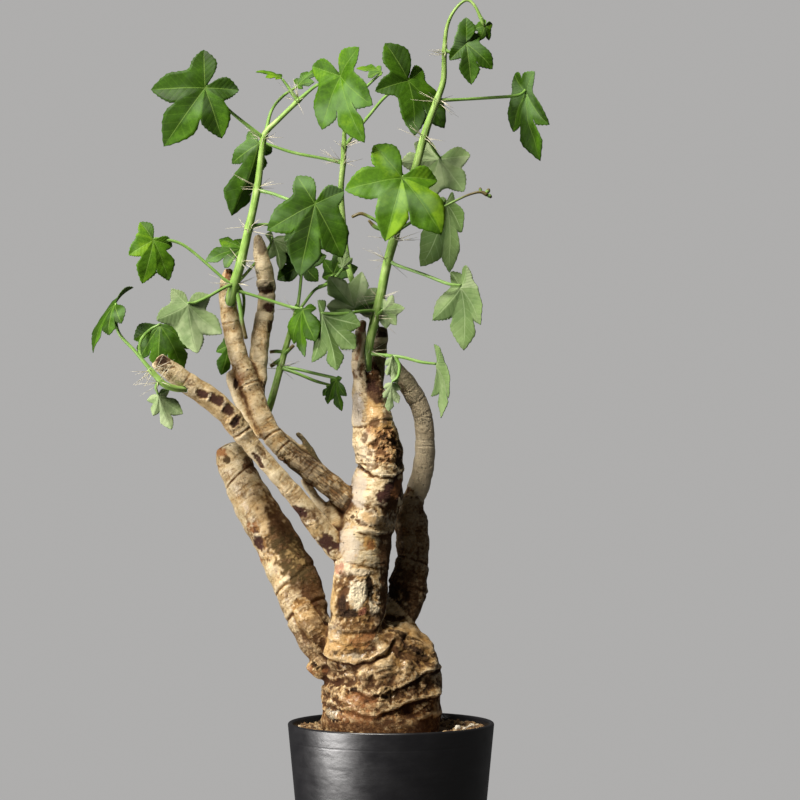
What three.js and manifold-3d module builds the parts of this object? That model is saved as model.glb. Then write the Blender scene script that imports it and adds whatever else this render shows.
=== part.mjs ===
// A potted jatropha spicata: a swollen woody body with thick knobbly limbs, five green leafy shoots that
// stand in sockets of the wood, gravelly soil and a matte dark pot.
// Millimetres, +Z up. The origin is the centre of the pot's underside, and the viewer looks along +Y.
import * as THREE from "three";
import { mergeVertices } from "three/addons/utils/BufferGeometryUtils.js";
import Module from "manifold-3d";

const wasm = await Module();
wasm.setup();

// The pot
const POT_HEIGHT = 116;
const RIM_RADIUS = 62;
const BASE_RADIUS = 51;
const WALL = 3;
const POT_FLOOR = 4;
const RIM_ROUND = 1.2;
const POT_SIDES = 36;
const DRAIN_RADIUS = 4;
const DRAIN_CIRCLE = 26;
const DRAIN_COUNT = 5;

// The soil
const SOIL_LEVEL = 111;
const STONE_COUNT = 22;
const STONE_SMALL = 2.2;
const STONE_LARGE = 4.2;

// Clearance between pieces that touch
const GAP = 0.35;

// The wood
const FOLD_START = 117;
const FOLD_FULL = 124;
const WOOD_SIDES = 8;
const END_DOME = 0.3;

// The stems and leaves
const STEM_SIDES = 6;
const STALK_SIDES = 4;
const STALK_RADIUS = 1;
const STALK_FOOT = 1.25;
const STALK_END = 0.8;
const BLADE = 0.7;
const LEAF_ROWS = 3;
const LOBE_WIDTHS = [0.33, 0.29, 0.25, 0.29, 0.33];
const WIDEST = 0.62;
const SINUS_DEPTH = 0.53;
const SINUS_LIMIT = 0.75;
const OUTER_SPREAD = Math.PI / 3;
const HEEL = 0.07;
const FOLD = 0.22;
const ARCH = 0.09;

// Places are given as the viewer sees them against the plane of the pot's axis, then pushed back in depth.
const EYE = new THREE.Vector3(5.4, -1800, 309.2);

function seen(x, z, depth) {
  const spread = 1 - depth / EYE.y;
  return new THREE.Vector3(EYE.x + (x - EYE.x) * spread, depth, EYE.z + (z - EYE.z) * spread);
}

// Each row of a limb or stem is x, z, depth and radius.
const WOOD = {
  base: {
    sides: 24,
    rings: 14,
    fold: [15, 1.7],
    lobing: 0.05,
    stations: [
      [-6, 86, 0, 25],
      [-6.3, 96, 0, 33],
      [-6.5, 105, 0, 35.2],
      [-6.5, 114, 0, 35.8],
      [-6.4, 128, 0, 35.8],
      [-6.4, 141, 0, 35.6],
      [-8.4, 150, 0, 34],
      [-11.5, 158, 0, 31],
      [-14, 166, 0, 28],
      [-15, 173, 1, 23],
      [-15, 178, 2, 15.5],
    ],
  },
  front_trunk: {
    sides: 15,
    rings: 31,
    fold: [13, 1],
    lobing: 0.05,
    stations: [
      [-18, 145, -8, 15],
      [-20.7, 156, -13, 18.6],
      [-20.1, 167, -14, 18.2],
      [-20.1, 178, -14, 17.5],
      [-20, 190, -13, 16.9],
      [-18.5, 205, -12, 16.2],
      [-17, 219, -11, 15.9],
      [-14.5, 232, -9, 15.4],
      [-11.5, 243, -8, 15.8],
      [-8.4, 252, -7, 16],
      [-7.5, 261, -6, 15],
      [-5.1, 270, -6, 13.3],
      [-6.6, 279, -5, 14.2],
      [-9.3, 291, -5, 13.4],
      [-11.7, 303, -4, 11],
      [-13.2, 315, -4, 9.7],
      [-14.4, 326, -4, 8.2],
    ],
  },
  front_stub: {
    stations: [
      [-15, 312, -7, 6],
      [-18, 327, -8, 5.3],
      [-19.2, 339, -8, 4.2],
      [-18.3, 349, -8, 3.6],
      [-16.8, 357, -8, 2.6],
    ],
  },
  back_stub: {
    stations: [
      [-11, 314, 3, 6],
      [-8.4, 330, 4, 5],
      [-6.3, 344, 5, 4.5],
      [-5, 353, 6, 3.6],
    ],
  },
  left_trunk: {
    sides: 12,
    rings: 20,
    fold: [12, 0.8],
    lobing: 0.04,
    stations: [
      [-36, 152, -3, 9],
      [-44, 165, -1, 11.4],
      [-49.5, 177, 2, 12.8],
      [-53.4, 189, 5, 14],
      [-57.9, 201, 8, 14.6],
      [-64, 213, 12, 14],
      [-69.5, 225, 15, 13.2],
      [-76.5, 237, 18, 12.8],
      [-83.2, 249, 21, 12.1],
      [-89.1, 261, 24, 11],
      [-94, 273, 27, 10.2],
      [-96.4, 281, 29, 8],
    ],
  },
  left_foot: {
    stations: [
      [-40, 166, -9, 6],
      [-47, 174, -11, 6.6],
      [-54, 185, -9, 6],
    ],
  },
  rear_trunk: {
    sides: 11,
    rings: 14,
    fold: [13, 0.8],
    lobing: 0.04,
    stations: [
      [-2, 158, 4, 12],
      [1, 168, 7, 10],
      [3.5, 177, 10, 9.4],
      [6.5, 184, 12, 10.6],
      [9, 192, 14, 11.6],
      [10.4, 201, 16, 11.6],
      [12.8, 213, 18, 9.6],
      [12.8, 221, 19, 9.8],
      [12, 232, 20, 10.2],
      [11, 242, 20, 9.6],
      [12, 251, 20, 7.2],
    ],
  },
  curved_branch: {
    sides: 9,
    rings: 13,
    fold: [11, 0.4],
    stations: [
      [12, 246, 20, 6.4],
      [16.8, 258, 21, 6.6],
      [19.4, 269, 22, 6.4],
      [20.4, 285, 22, 6.1],
      [18.4, 302, 20, 5.9],
      [12, 315, 17, 6],
      [5, 324.5, 14, 5.5],
      [0.5, 330.5, 12, 4.6],
    ],
  },
  low_branch: {
    sides: 9,
    rings: 18,
    fold: [12, 0.4],
    stations: [
      [-22, 212, -9, 7],
      [-32, 220, -12, 7],
      [-43, 233, -14, 6.9],
      [-54.6, 248, -16, 6],
      [-66.6, 262.4, -18, 5.2],
      [-80.4, 278, -20, 5.3],
      [-90, 290, -22, 6.4],
      [-98.4, 301.2, -24, 6.7],
      [-108.6, 310.4, -26, 6.8],
      [-120, 318, -28, 6.4],
      [-130, 325.4, -30, 6.1],
      [-140.4, 333.4, -32, 5.2],
    ],
  },
  upper_branch: {
    sides: 9,
    rings: 20,
    fold: [12, 0.4],
    stations: [
      [-18, 243, -8, 7.5],
      [-28, 251, -9, 7.2],
      [-37, 258.5, -9, 7],
      [-47.4, 266.4, -9, 7],
      [-59.4, 275.4, -8, 6.4],
      [-69.4, 285, -7, 6.1],
      [-76.2, 297, -6, 6],
      [-81.2, 309, -5, 6],
      [-86, 321, -4, 6.2],
      [-90.6, 333, -4, 5.9],
      [-93.8, 345, -3, 5.7],
      [-96.2, 357, -3, 5.6],
      [-97.8, 369, -3, 5.4],
      [-98, 379, -3, 4.8],
      [-97, 388, -3, 2.9],
    ],
  },
  second_branch: {
    sides: 9,
    rings: 13,
    fold: [11, 0.4],
    stations: [
      [-80, 311, -3, 4],
      [-79, 321, 1, 4.6],
      [-79.6, 332, 4, 5.6],
      [-78.6, 345, 7, 5.8],
      [-76.4, 357, 9, 5.9],
      [-74.6, 369, 11, 5.3],
      [-75, 381, 12, 5.5],
      [-77.4, 393, 13, 5],
      [-79.2, 403, 14, 3.9],
      [-79.6, 408, 14, 2.4],
    ],
  },
  side_stub: {
    stations: [
      [-78.6, 287, -5, 3.4],
      [-85, 298, -5, 3.7],
      [-90.4, 308, -5, 3.7],
      [-94.6, 318, -5, 3.6],
      [-97.2, 326, -5, 2.7],
    ],
  },
  thin_rear_twig: {
    stations: [
      [-46, 268, -5, 3],
      [-51, 276, -3, 2.7],
      [-60, 284, -1, 2.3],
      [-68.4, 291.5, -1, 2.2],
    ],
  },
  rear_stub: {
    stations: [
      [-43, 268, -6, 3],
      [-46, 275, -4, 2.2],
      [-50, 282, -2, 1.9],
      [-56.4, 289.6, 0, 1.7],
    ],
  },
  thin_low_twig: {
    stations: [
      [-34, 238, -3, 4],
      [-42.5, 247, -3, 3],
      [-49, 256, -3, 2.7],
      [-53, 262, -4, 2.2],
    ],
  },
  side_knob: {
    stations: [
      [-20, 226, -4, 7],
      [-28.5, 234, -4, 7],
      [-32.5, 244, -3, 6],
      [-33, 250, -2, 4.2],
    ],
  },
  base_knob: {
    stations: [
      [-37, 143, -4, 5],
      [-44, 147, -5, 4.6],
      [-48.5, 151, -5, 3.8],
    ],
  },
};

// Each leaf has a stalk, whose last place is the leaf's base, and five tips from that base as x, z and depth.
// The tips run from basal lobe to basal lobe, anticlockwise for one who looks at the upper face.
const SHOOTS = {
  shoot_left: {
    stem: [
      [-97, 366, -5, 2.8],
      [-95.6, 372, -8.5, 3.3],
      [-93.6, 380, -10, 3.1],
      [-90, 392, -11, 2.8],
      [-85.6, 411, -12, 2.5],
      [-80.4, 435, -12, 2.2],
      [-77.4, 459, -12, 1.9],
      [-75.4, 469, -12, 1.8],
      [-67.8, 477, -12, 1.5],
      [-54, 490.4, -12, 1.4],
    ],
    leaves: [
      {
        stalk: [[-76, 466, -12], [-96, 482, -18], [-104, 491, -21], [-111.6, 496.4, -26]],
        tips: [[-1, 23, 4], [-32, -1, 0], [-24, -35, -4], [10, -30, -1], [20, -1, 3]],
      },
      {
        stalk: [[-56, 488.5, -12], [-61, 496, -12], [-66, 502, -12]],
        tips: [[-3, 3, 5], [-9, 5, 6], [-15, 4, 0], [-9, 0, -6], [-3, -1, -5]],
        sinus: 0.72,
      },
      {
        stalk: [[-56, 488.5, -12], [-46, 497, -15], [-37, 501.5, -20], [-30, 503.6, -25]],
        tips: [[-17, 7, 10], [-11, -31, 8], [14, -40, -6], [19, -19, -18], [11, 16, -10]],
      },
      {
        stalk: [[-75.6, 467, -11.5], [-72, 482, -2], [-65.4, 491, 4], [-55.8, 497.6, 8]],
        tips: [[-1, 5, 3], [6, 9, 4], [13, 10, 0], [10, 2, -4], [3, -2, -3]],
        sinus: 0.72,
      },
      {
        stalk: [[-80.4, 435.2, -12], [-71, 433, -15], [-60, 429, -20], [-50, 427, -27], [-45.6, 426.8, -31]],
        tips: [[-11, 17, 6], [-28, -16, -2], [-9, -43, -6], [16, -32, -2], [17, 8, 6]],
      },
      {
        stalk: [[-85, 413, -12], [-78, 414.5, -9], [-66, 414, -7], [-52, 412, -8]],
        tips: [[-4, 10, 2], [-12, -8, -2], [4, -22, -5], [17, -12, -2], [16, 6, 2]],
      },
      {
        stalk: [[-93, 379, -9], [-87, 385, 10], [-80, 393, 21], [-73, 401, 21], [-70.8, 405.8, 15]],
        tips: [[8, 2, 4], [14, -6, -3], [5, -19, -5], [-3, -12, 7], [-5, 3, 6]],
        sinus: 0.62,
      },
      {
        stalk: [
          [-94.6, 376.5, -9.5],
          [-98, 377.5, -14],
          [-110, 371, -20],
          [-118, 367.5, -23],
          [-121.8, 366.2, -26],
        ],
        tips: [[13, 6, 8], [20, -17, 2], [6, -29, -10], [-18, -9, -8], [-10, 10, 4]],
        sinus: 0.68,
      },
      {
        stalk: [
          [-95, 378, -9.5],
          [-101, 382.5, -12],
          [-123.6, 401.6, -13],
          [-137, 405.5, -15],
          [-142.8, 405, -18],
        ],
        tips: [[-8, 11, 4], [-14, -9, -6], [-6, -26, -6], [9, -24, 2], [11, -3, 6]],
        sinus: 0.66,
      },
      {
        stalk: [[-90, 392, -11], [-89, 397, -5], [-89.5, 400, 0]],
        tips: [[-4, 6, 6], [-14, 6, 5], [-22, -8, 0], [-10, -12, -7], [-3, -7, -4]],
        sinus: 0.72,
      },
      {
        stalk: [[-93.5, 375, -9.5], [-86, 373, -8.5], [-73, 369, -8], [-60, 365, -8], [-52.8, 363.2, -12]],
        tips: [[-5, 2, 5], [-6, -20, 10], [1, -28, 2], [8, -19, -10], [8, 1, 0]],
      },
      {
        stalk: [[-93, 379, -9], [-88.5, 372, -3], [-89, 360, 5], [-93, 348, 9], [-97, 342, 9]],
        tips: [[-3, 5, 3], [-8, -4, 0], [-5, -18, -1], [3, -11, 3], [5, 2, 4]],
        sinus: 0.68,
      },
    ],
    twigs: [
      [[-93.6, 377, -9.5, 1.4], [-91, 368, -10, 1.3], [-89.5, 357, -9.5, 1.3], [-87, 346, -8.5, 1.2]],
    ],
  },
  shoot_mid: {
    stem: [
      [-6.5, 345, 5, 1.7],
      [-9, 354, 9, 1.8],
      [-16, 366, 15, 1.8],
      [-23.4, 381, 21, 1.8],
      [-27, 399, 25, 1.8],
      [-28.8, 417, 27, 1.8],
      [-30, 435, 28, 1.8],
      [-28.8, 450, 28, 1.7],
      [-28.2, 461, 28, 1.6],
      [-27.6, 474, 27, 1.1],
      [-25.2, 487, 26, 0.9],
    ],
    leaves: [
      {
        stalk: [[-29, 451.5, 28], [-40, 454, 31], [-60, 458, 32], [-79.8, 462.8, 30]],
        tips: [[-6, 8, 4], [-16, -12, 0], [-16, -44, -3], [-1, -18, 8], [8, -5, 6]],
      },
      {
        stalk: [[-28.2, 460.5, 28], [-22, 469, 27], [-12.6, 480.5, 25], [-3.6, 491, 22], [10.2, 500.6, 19]],
        tips: [[-14, 23, 0], [-20, -7, -8], [4, -34, -8], [22, -28, 8], [9, 8, 10]],
      },
      {
        stalk: [[-25.5, 485.5, 26], [-17, 495, 25], [-6, 506, 24]],
        tips: [[-2, 4, 3], [-9, 4, 6], [-15, 2, 0], [-8, -4, -6], [-2, -3, -3]],
        sinus: 0.7,
      },
      {
        stalk: [[-25.6, 484, 26], [-25.2, 488, 25]],
        tips: [[4, 1, 2], [4, -9, 3], [-4, -16, 0], [-7, -8, -2], [-3, 2, 2]],
        sinus: 0.68,
      },
    ],
    twigs: [],
  },
  shoot_tall: {
    stem: [
      [-14.4, 318, -5, 2.4],
      [-14.2, 330, -8, 2.5],
      [-12.6, 345, -9, 2.7],
      [-6.6, 370, -8, 2.8],
      [-1.8, 393, -7, 2.7],
      [7.8, 426, -6, 2.6],
      [14.4, 447, -5, 2.5],
      [21, 471, -4, 2.3],
      [27.6, 489, -3, 2],
      [31.5, 501, -2, 1.8],
      [32, 515, -2, 1.5],
      [33, 530, -2, 1.2],
      [36, 539.5, -2, 1],
      [41.4, 546.8, -2, 0.9],
      [46.4, 549, -2, 0.9],
      [51, 544.5, -3, 0.9],
      [55.8, 533.6, -4, 0.9],
    ],
    leaves: [
      {
        stalk: [[0.6, 405, -6.5], [3, 414, -14], [6, 430, -24], [6.6, 442.4, -29]],
        tips: [[-17, 20, 6], [-34, -7, -2], [-10, -38, -8], [23, -34, -6], [21, -1, 8]],
      },
      {
        stalk: [[19.5, 466, -4.5], [23, 464, 2], [26, 459, 9], [28.8, 453.8, 14]],
        tips: [[19, 2, -4], [15, -20, -4], [-9, -26, 6], [-24, -2, 3], [-15, 10, 1]],
        sinus: 0.68,
      },
      {
        stalk: [[0.6, 405, -6.5], [5, 411, 0], [14, 417, 7], [24, 423, 12], [33, 427.4, 14]],
        tips: [[4, 6, -5], [9, -18, -14], [1, -42, -6], [-15, -38, 12], [-6, 2, 6]],
        sinus: 0.6,
      },
      {
        stalk: [[27.6, 489, -3], [40, 489.4, 1], [60, 490.6, 6], [76, 492, 11], [81.6, 494, 14]],
        tips: [[-7, 12, 11], [-8, -23, 13], [8, -42, -4], [13, -21, -13], [4, 11, -13]],
      },
      {
        stalk: [[32, 519.5, -2], [35, 518, -4], [39, 518, -7], [45, 522.8, -12]],
        tips: [[0, 16, 3], [-10, -10, -4], [3, -25, -6], [16, -15, -2], [8, 6, 5]],
      },
      {
        stalk: [[54, 538.5, -3.6], [55.8, 533.2, -4]],
        tips: [[-1, 5, 3], [-7, -2, -2], [-3, -9, -4], [3, -8, 2], [5, 2, 4]],
        sinus: 0.65,
      },
      {
        stalk: [[-1.8, 393, -7], [4, 390, -10], [20, 384.4, -18], [34, 379, -24], [42, 376.4, -25]],
        tips: [[3, 13, -8], [11, -22, -8], [2, -37, 4], [-17, -19, 8], [-6, 10, 5]],
        sinus: 0.6,
      },
      {
        stalk: [[-12.6, 337, -9], [-8, 336.5, -12], [6, 335, -16], [18, 332, -19], [27, 329.6, -20]],
        tips: [[2, 10, -9], [7, -19, -13], [3, -31, 0], [-3, -18, 13], [-1, 13, 6]],
        sinus: 0.6,
      },
      {
        stalk: [[-9.5, 359, -8.5], [-7, 361, -11.5], [-4.8, 363.2, -14]],
        tips: [[0, 7, 3], [6, 9, 0], [13, 1, -2], [8, -9, 0], [2, -11, 3]],
        sinus: 0.72,
      },
      {
        stalk: [[-3, 336, -13.4], [-0.5, 335.6, -15.5], [0.6, 335, -17]],
        tips: [[4, -1, 2], [5, -10, 2], [3, -16, -1], [-3, -11, -2], [-4, -5, 0]],
        sinus: 0.72,
      },
      {
        stalk: [[2, 335.4, -14.8], [5, 330, -16], [4, 323, -18], [0.6, 319.4, -19]],
        tips: [[5, -4, 3], [4, -12, 1], [-2, -17, -1], [-5, -9, 0], [-5, -3, 1]],
        sinus: 0.68,
      },
      {
        stalk: [
          [-8.7, 362, -8.5],
          [-12, 362.8, -12],
          [-18, 362.4, -17],
          [-30, 361, -21],
          [-41.4, 360.2, -23],
        ],
        tips: [[23, -6, -2], [20, -20, -4], [9, -33, -10], [-6, -28, 4], [-3, 9, 9]],
        sinus: 0.64,
      },
      {
        stalk: [[-7, 368, -8.2], [-12, 367, -4], [-17, 365.5, -1], [-21.6, 364.4, 1]],
        tips: [[-17, 1, -4], [-16, 19, -1], [4, 22, 3], [13, 12, -4], [12, -1, -7]],
        sinus: 0.66,
      },
    ],
    twigs: [
      [
        [7.8, 426, -6, 0.9],
        [18, 423, -10, 0.8],
        [29.4, 424.4, -10, 0.8],
        [38.4, 428.6, -9, 0.7],
        [46.2, 432.2, -8, 0.7],
        [53.4, 434, -8, 0.9],
        [57.6, 432.4, -8, 1.3],
      ],
      [
        [0.6, 406, -6.5, 1],
        [-4.2, 411.2, -8, 0.9],
        [-7.8, 416, -9, 0.9],
        [-14.4, 419.8, -9, 1],
        [-18.6, 421, -9, 1],
        [-23.4, 419, -9, 0.9],
      ],
      [[-3.5, 410.4, -8, 0.8], [-9.4, 413, -9, 1.3], [-13.4, 417, -10, 0.8]],
    ],
  },
  shoot_back: {
    stem: [
      [-76.6, 293, -2, 2.1],
      [-75, 299.5, 5, 2.4],
      [-72, 308, 10, 2.3],
      [-68.4, 321, 14, 2.2],
      [-64.8, 334.5, 16, 2],
      [-60.6, 349.5, 17, 1.7],
      [-56.4, 363, 17, 1.4],
    ],
    leaves: [
      {
        stalk: [[-56.6, 362, 17], [-55, 372, 19], [-53.8, 384, 21], [-53.4, 390, 22]],
        tips: [[10, -10, -3], [15, 6, 0], [1, 20, 4], [-14, 8, 2], [-15, -9, -3]],
      },
      {
        stalk: [[-57, 361, 17], [-53, 366, 19], [-46, 375, 25], [-39.6, 378.5, 30], [-34.5, 385, 34]],
        tips: [[4, -8, 2], [15, 4, 0], [8, 17, -1], [-6, 9, 2], [-7, -2, 4]],
        sinus: 0.64,
      },
      {
        stalk: [[-43, 377, 27], [-36, 380, 18], [-29, 388.5, 12]],
        tips: [[-3, 2, 1], [-2, 8, 0], [2, 11, -1], [6, 6, -1], [4, 0, 1]],
        sinus: 0.68,
      },
      {
        stalk: [[-66.4, 328.5, 15], [-58, 328, 12], [-45, 325, 9], [-36, 323, 7], [-32.4, 321.5, 6]],
        tips: [[-4, -2, 5], [-5, -13, 5], [3, -19, 0], [6, -10, -5], [3, 1, -4]],
      },
      {
        stalk: [[-66.3, 328.8, 15], [-56, 325, 11], [-45, 320.5, 11], [-36, 317.6, 14]],
        tips: [[-3, 0, 2], [-5, -6, 2], [-2, -11, 0], [2, -7, -2], [2, 0, -2]],
      },
    ],
    twigs: [
      [[-64, 338, 16, 1.1], [-69, 338.4, 16, 1.1], [-72.6, 338, 16, 1]],
      [[-65, 334, 16, 1.5], [-69, 331.6, 15, 1.4], [-72.2, 329.4, 14, 1.3]],
      [[-64.4, 336, 16, 1.3], [-61, 339.5, 13, 1.2], [-58.4, 342, 12, 1.1]],
    ],
  },
  shoot_low: {
    stem: [
      [-122.5, 315.5, -31, 1.6],
      [-129, 316, -36.5, 1.9],
      [-136, 318.5, -40, 1.9],
      [-141, 323.5, -40.5, 1.7],
      [-145, 328, -40.5, 1.4],
    ],
    leaves: [
      {
        stalk: [[-143.5, 326.5, -40.5], [-153.6, 338.5, -40], [-163.8, 350.6, -38], [-165.6, 366, -33]],
        tips: [[10, 11, 8], [-15, -17, 14], [-13, -28, 0], [-2, -18, -14], [5, -11, -12]],
      },
      {
        stalk: [
          [-144.5, 327.5, -40],
          [-150, 335, -36],
          [-150.5, 344, -26],
          [-145, 351, -17],
          [-138.6, 353.6, -16],
        ],
        tips: [[-16, -8, 4], [-12, -20, 0], [-1, -26, -4], [14, -27, 0], [17, -13, 12]],
        sinus: 0.62,
      },
      {
        stalk: [[-138.5, 321, -40.3], [-141, 317, -41], [-139.5, 312, -40]],
        tips: [[6, 3, 4], [14, -11, 5], [8, -20, -3], [-3, -12, -2], [-7, -3, 3]],
        sinus: 0.74,
      },
    ],
    twigs: [],
  },
};

// A random draw that gives the same run each time
function seeded(seed) {
  let state = seed;
  return () => {
    state = (state * 1664525 + 1013904223) % 4294967296;
    return state / 4294967296;
  };
}

// A closed geometry as a solid, with doubled corners merged and collapsed faces dropped
function solidOf(geometry) {
  geometry.deleteAttribute("normal");
  geometry.deleteAttribute("uv");
  const merged = mergeVertices(geometry, 1e-3);
  const triVerts = [];
  for (let i = 0; i < merged.index.count; i += 3) {
    const [a, b, c] = [0, 1, 2].map((k) => merged.index.getX(i + k));
    if (a !== b && b !== c && c !== a) triVerts.push(a, b, c);
  }
  const vertProperties = Float32Array.from(merged.attributes.position.array);
  const mesh = new wasm.Mesh({ numProp: 3, vertProperties, triVerts: Uint32Array.from(triVerts) });
  return new wasm.Manifold(mesh);
}

function joined(solids) {
  return solids.reduce((whole, solid) => whole.add(solid));
}

// A solid as a named mesh with its own material
function piece(name, solid, color, roughness) {
  const { vertProperties, triVerts } = solid.getMesh();
  const geometry = new THREE.BufferGeometry();
  geometry.setAttribute("position", new THREE.BufferAttribute(vertProperties, 3));
  geometry.setIndex(new THREE.BufferAttribute(triVerts, 1));
  geometry.computeVertexNormals();
  const mesh = new THREE.Mesh(geometry, new THREE.MeshStandardMaterial({ color, roughness, metalness: 0 }));
  mesh.name = name;
  return mesh;
}

// A round rod of changing radius along a smooth path: a lathe turned about its own axis, then bent.
// relief gives an offset of the surface from the length along the rod, the turn round it and the height.
function rod(stations, sides, rings, { grow = 0, relief = () => 0 } = {}) {
  const path = new THREE.CatmullRomCurve3(
    stations.map(([x, z, depth]) => seen(x, z, depth)), false, "catmullrom", 0.5);
  const girth = new THREE.SplineCurve(stations.map((row, i) => new THREE.Vector2(i, row[3] + grow)));
  const profile = [new THREE.Vector2(0, 0)];
  for (let i = 0; i <= rings; i++) profile.push(new THREE.Vector2(girth.getPoint(i / rings).y, i));
  profile.push(new THREE.Vector2(0, rings));
  const geometry = new THREE.LatheGeometry(profile, sides);
  const frames = framesAlong(path, rings);
  const position = geometry.attributes.position;
  for (let i = 0; i < position.count; i++) {
    const { at, across, along, side, length } = frames[Math.round(position.getY(i))];
    const radius = Math.hypot(position.getX(i), position.getZ(i));
    const turn = Math.atan2(position.getZ(i), position.getX(i));
    const out = across.clone().multiplyScalar(Math.cos(turn)).addScaledVector(side, Math.sin(turn));
    const bump = radius > 0 ? relief(length, turn, at.z) : 0;
    const spot = at.clone().addScaledVector(out, radius + bump);
    if (radius === 0) {
      const end = position.getY(i) === 0 ? stations[0][3] : -stations.at(-1)[3];
      spot.addScaledVector(along, -END_DOME * end - grow * Math.sign(end));
    }
    position.setXYZ(i, spot.x, spot.y, spot.z);
  }
  return solidOf(geometry);
}

// Frames at even steps of a path that turn as little as they can
function framesAlong(path, rings) {
  const frames = [];
  let across = new THREE.Vector3(1, 0, 0);
  let length = 0;
  for (let i = 0; i <= rings; i++) {
    const at = path.getPoint(i / rings);
    const along = path.getTangent(i / rings);
    across = across.clone().addScaledVector(along, -across.dot(along)).normalize();
    if (i > 0) length += at.distanceTo(frames[i - 1].at);
    frames.push({ at, along, across, side: new THREE.Vector3().crossVectors(across, along), length });
  }
  return frames;
}

// Wavy folds and rings round a limb, fading out where the wood goes into the soil
function woodRelief([pitch, height], lobing, radius) {
  return (length, turn, level) => {
    const wave = Math.sin((2 * Math.PI * (length + 2.2 * Math.sin(turn + length / 23))) / pitch);
    const lobes = lobing * radius * Math.sin(3 * turn + length / 31);
    const shown = THREE.MathUtils.smoothstep(level, FOLD_START, FOLD_FULL);
    return shown * (height * (0.7 * wave + 0.3 * Math.sin(2 * turn + length / 9)) + lobes);
  };
}

function limb({ stations, sides = WOOD_SIDES, rings = 4, fold = [9, 0.3], lobing = 0.02 }) {
  const relief = woodRelief(fold, lobing, stations[1][3]);
  return rod(stations, sides, rings, { relief });
}

// The five-lobed blade: flat between neighbouring midribs, then folded along them and arched
function blade(base, tips, sinus) {
  const lobes = tips.map(([x, z, depth]) => new THREE.Vector3(x, depth, z));
  const normals = [0, 1, 2, 3].map((k) => lobes[k].clone().cross(lobes[k + 1]).normalize());
  const middle = lobes[2];
  const corners = lobes.flatMap((lobe, k) => {
    const before = normals[Math.max(k - 1, 0)];
    const after = normals[Math.min(k, 3)];
    const shape = { lobe, middle, sinus, width: LOBE_WIDTHS[k], ribNormal: before.clone().add(after).normalize() };
    return [
      ...halfLobe({ ...shape, next: lobes[k - 1], normal: before, way: -1 }),
      ...halfLobe({ ...shape, next: lobes[k + 1], normal: after, way: 1 }),
    ];
  });
  return thickened(new THREE.BufferGeometry().setFromPoints(corners).translate(...seen(...base)));
}

// Half a lobe as triangles, from its midrib to its margin on one side. A basal lobe's outer half has no next.
function halfLobe({ lobe, next, middle, sinus, width, ribNormal, normal, way }) {
  const length = lobe.length();
  const ahead = lobe.clone().normalize();
  const side = normal.clone().cross(ahead).multiplyScalar(way).normalize();
  const half = next ? lobe.angleTo(next) / 2 : OUTER_SPREAD;
  const farSpan = (length + (next ?? middle).length()) / 2;
  const place = (along, off) => {
    const blend = Math.min(1, Math.atan2(off, along) / half);
    const span = THREE.MathUtils.lerp(length, farSpan, blend);
    const share = Math.min(1, Math.hypot(along, off) / span);
    const rise = FOLD * off + ARCH * span * 4 * share * (1 - share) * (1 - 0.4 * share);
    const up = ribNormal.clone().lerp(normal, blend).normalize();
    return up.multiplyScalar(rise).addScaledVector(ahead, along).addScaledVector(side, off);
  };
  const margin = marginOf(length, width * length, half, next, sinus);
  const heel = middle.clone().multiplyScalar(-HEEL);
  const ribAt = (row) => place((length * row) / LEAF_ROWS, 0);
  const edgeAt = (row) => (next || row !== 1 ? place(...margin(row)) : heel);
  const corners = [];
  for (let row = 0; row < LEAF_ROWS; row++) {
    const [a, b, c, d] = [ribAt(row), ribAt(row + 1), edgeAt(row + 1), edgeAt(row)];
    if (row < LEAF_ROWS - 1) corners.push(a, ...(way > 0 ? [b, c] : [c, b]));
    if (row > 0) corners.push(a, ...(way > 0 ? [c, d] : [d, c]));
  }
  return corners;
}

// The margin row by row: from the base to the sinus that it shares with the next lobe, then round to the tip
function marginOf(length, width, half, next, depth) {
  const shorter = next ? Math.min(length, next.length()) : length;
  const reach = next ? Math.min((depth * (length + next.length())) / 2, SINUS_LIMIT * shorter) : 0;
  const sinus = [reach * Math.cos(half), reach * Math.sin(half)];
  const start = sinus[0] / length;
  return (row) => {
    if (row === 0) return [0, 0];
    if (row === 1) return sinus;
    const share = start + ((1 - start) * (row - 1)) / (LEAF_ROWS - 1);
    const swell = Math.sin((Math.PI / 2) * Math.min(1, (share - start) / Math.max(0.1, WIDEST - start)));
    const taper = 1 - Math.max(0, (share - WIDEST) / (1 - WIDEST)) ** 1.7;
    const off = (sinus[1] + (width - sinus[1]) * swell) * taper;
    return [share * length, next ? Math.min(off, 0.97 * share * length * Math.tan(half)) : off];
  };
}

// A closed sheet of even thickness: both faces split into triangles alike, with a wall round the margin
function thickened(surface) {
  const sheet = mergeVertices(surface, 1e-3);
  sheet.computeVertexNormals();
  const { position, normal } = sheet.attributes;
  const count = position.count;
  const places = [];
  for (const way of [0.5, -0.5]) {
    for (let i = 0; i < count; i++) {
      const spot = new THREE.Vector3().fromBufferAttribute(position, i);
      places.push(spot.addScaledVector(new THREE.Vector3().fromBufferAttribute(normal, i), way * BLADE));
    }
  }
  const index = [...sheet.index.array];
  const faces = [];
  const edges = new Set();
  for (let i = 0; i < index.length; i += 3) {
    const [a, b, c] = index.slice(i, i + 3);
    faces.push(a, b, c, a + count, c + count, b + count);
    for (const [from, to] of [[a, b], [b, c], [c, a]]) edges.add(`${from} ${to}`);
  }
  for (const edge of edges) {
    const [from, to] = edge.split(" ").map(Number);
    if (!edges.has(`${to} ${from}`)) faces.push(to, from, from + count, to, from + count, to + count);
  }
  return solidOf(new THREE.BufferGeometry().setFromPoints(places).setIndex(faces));
}

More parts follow.
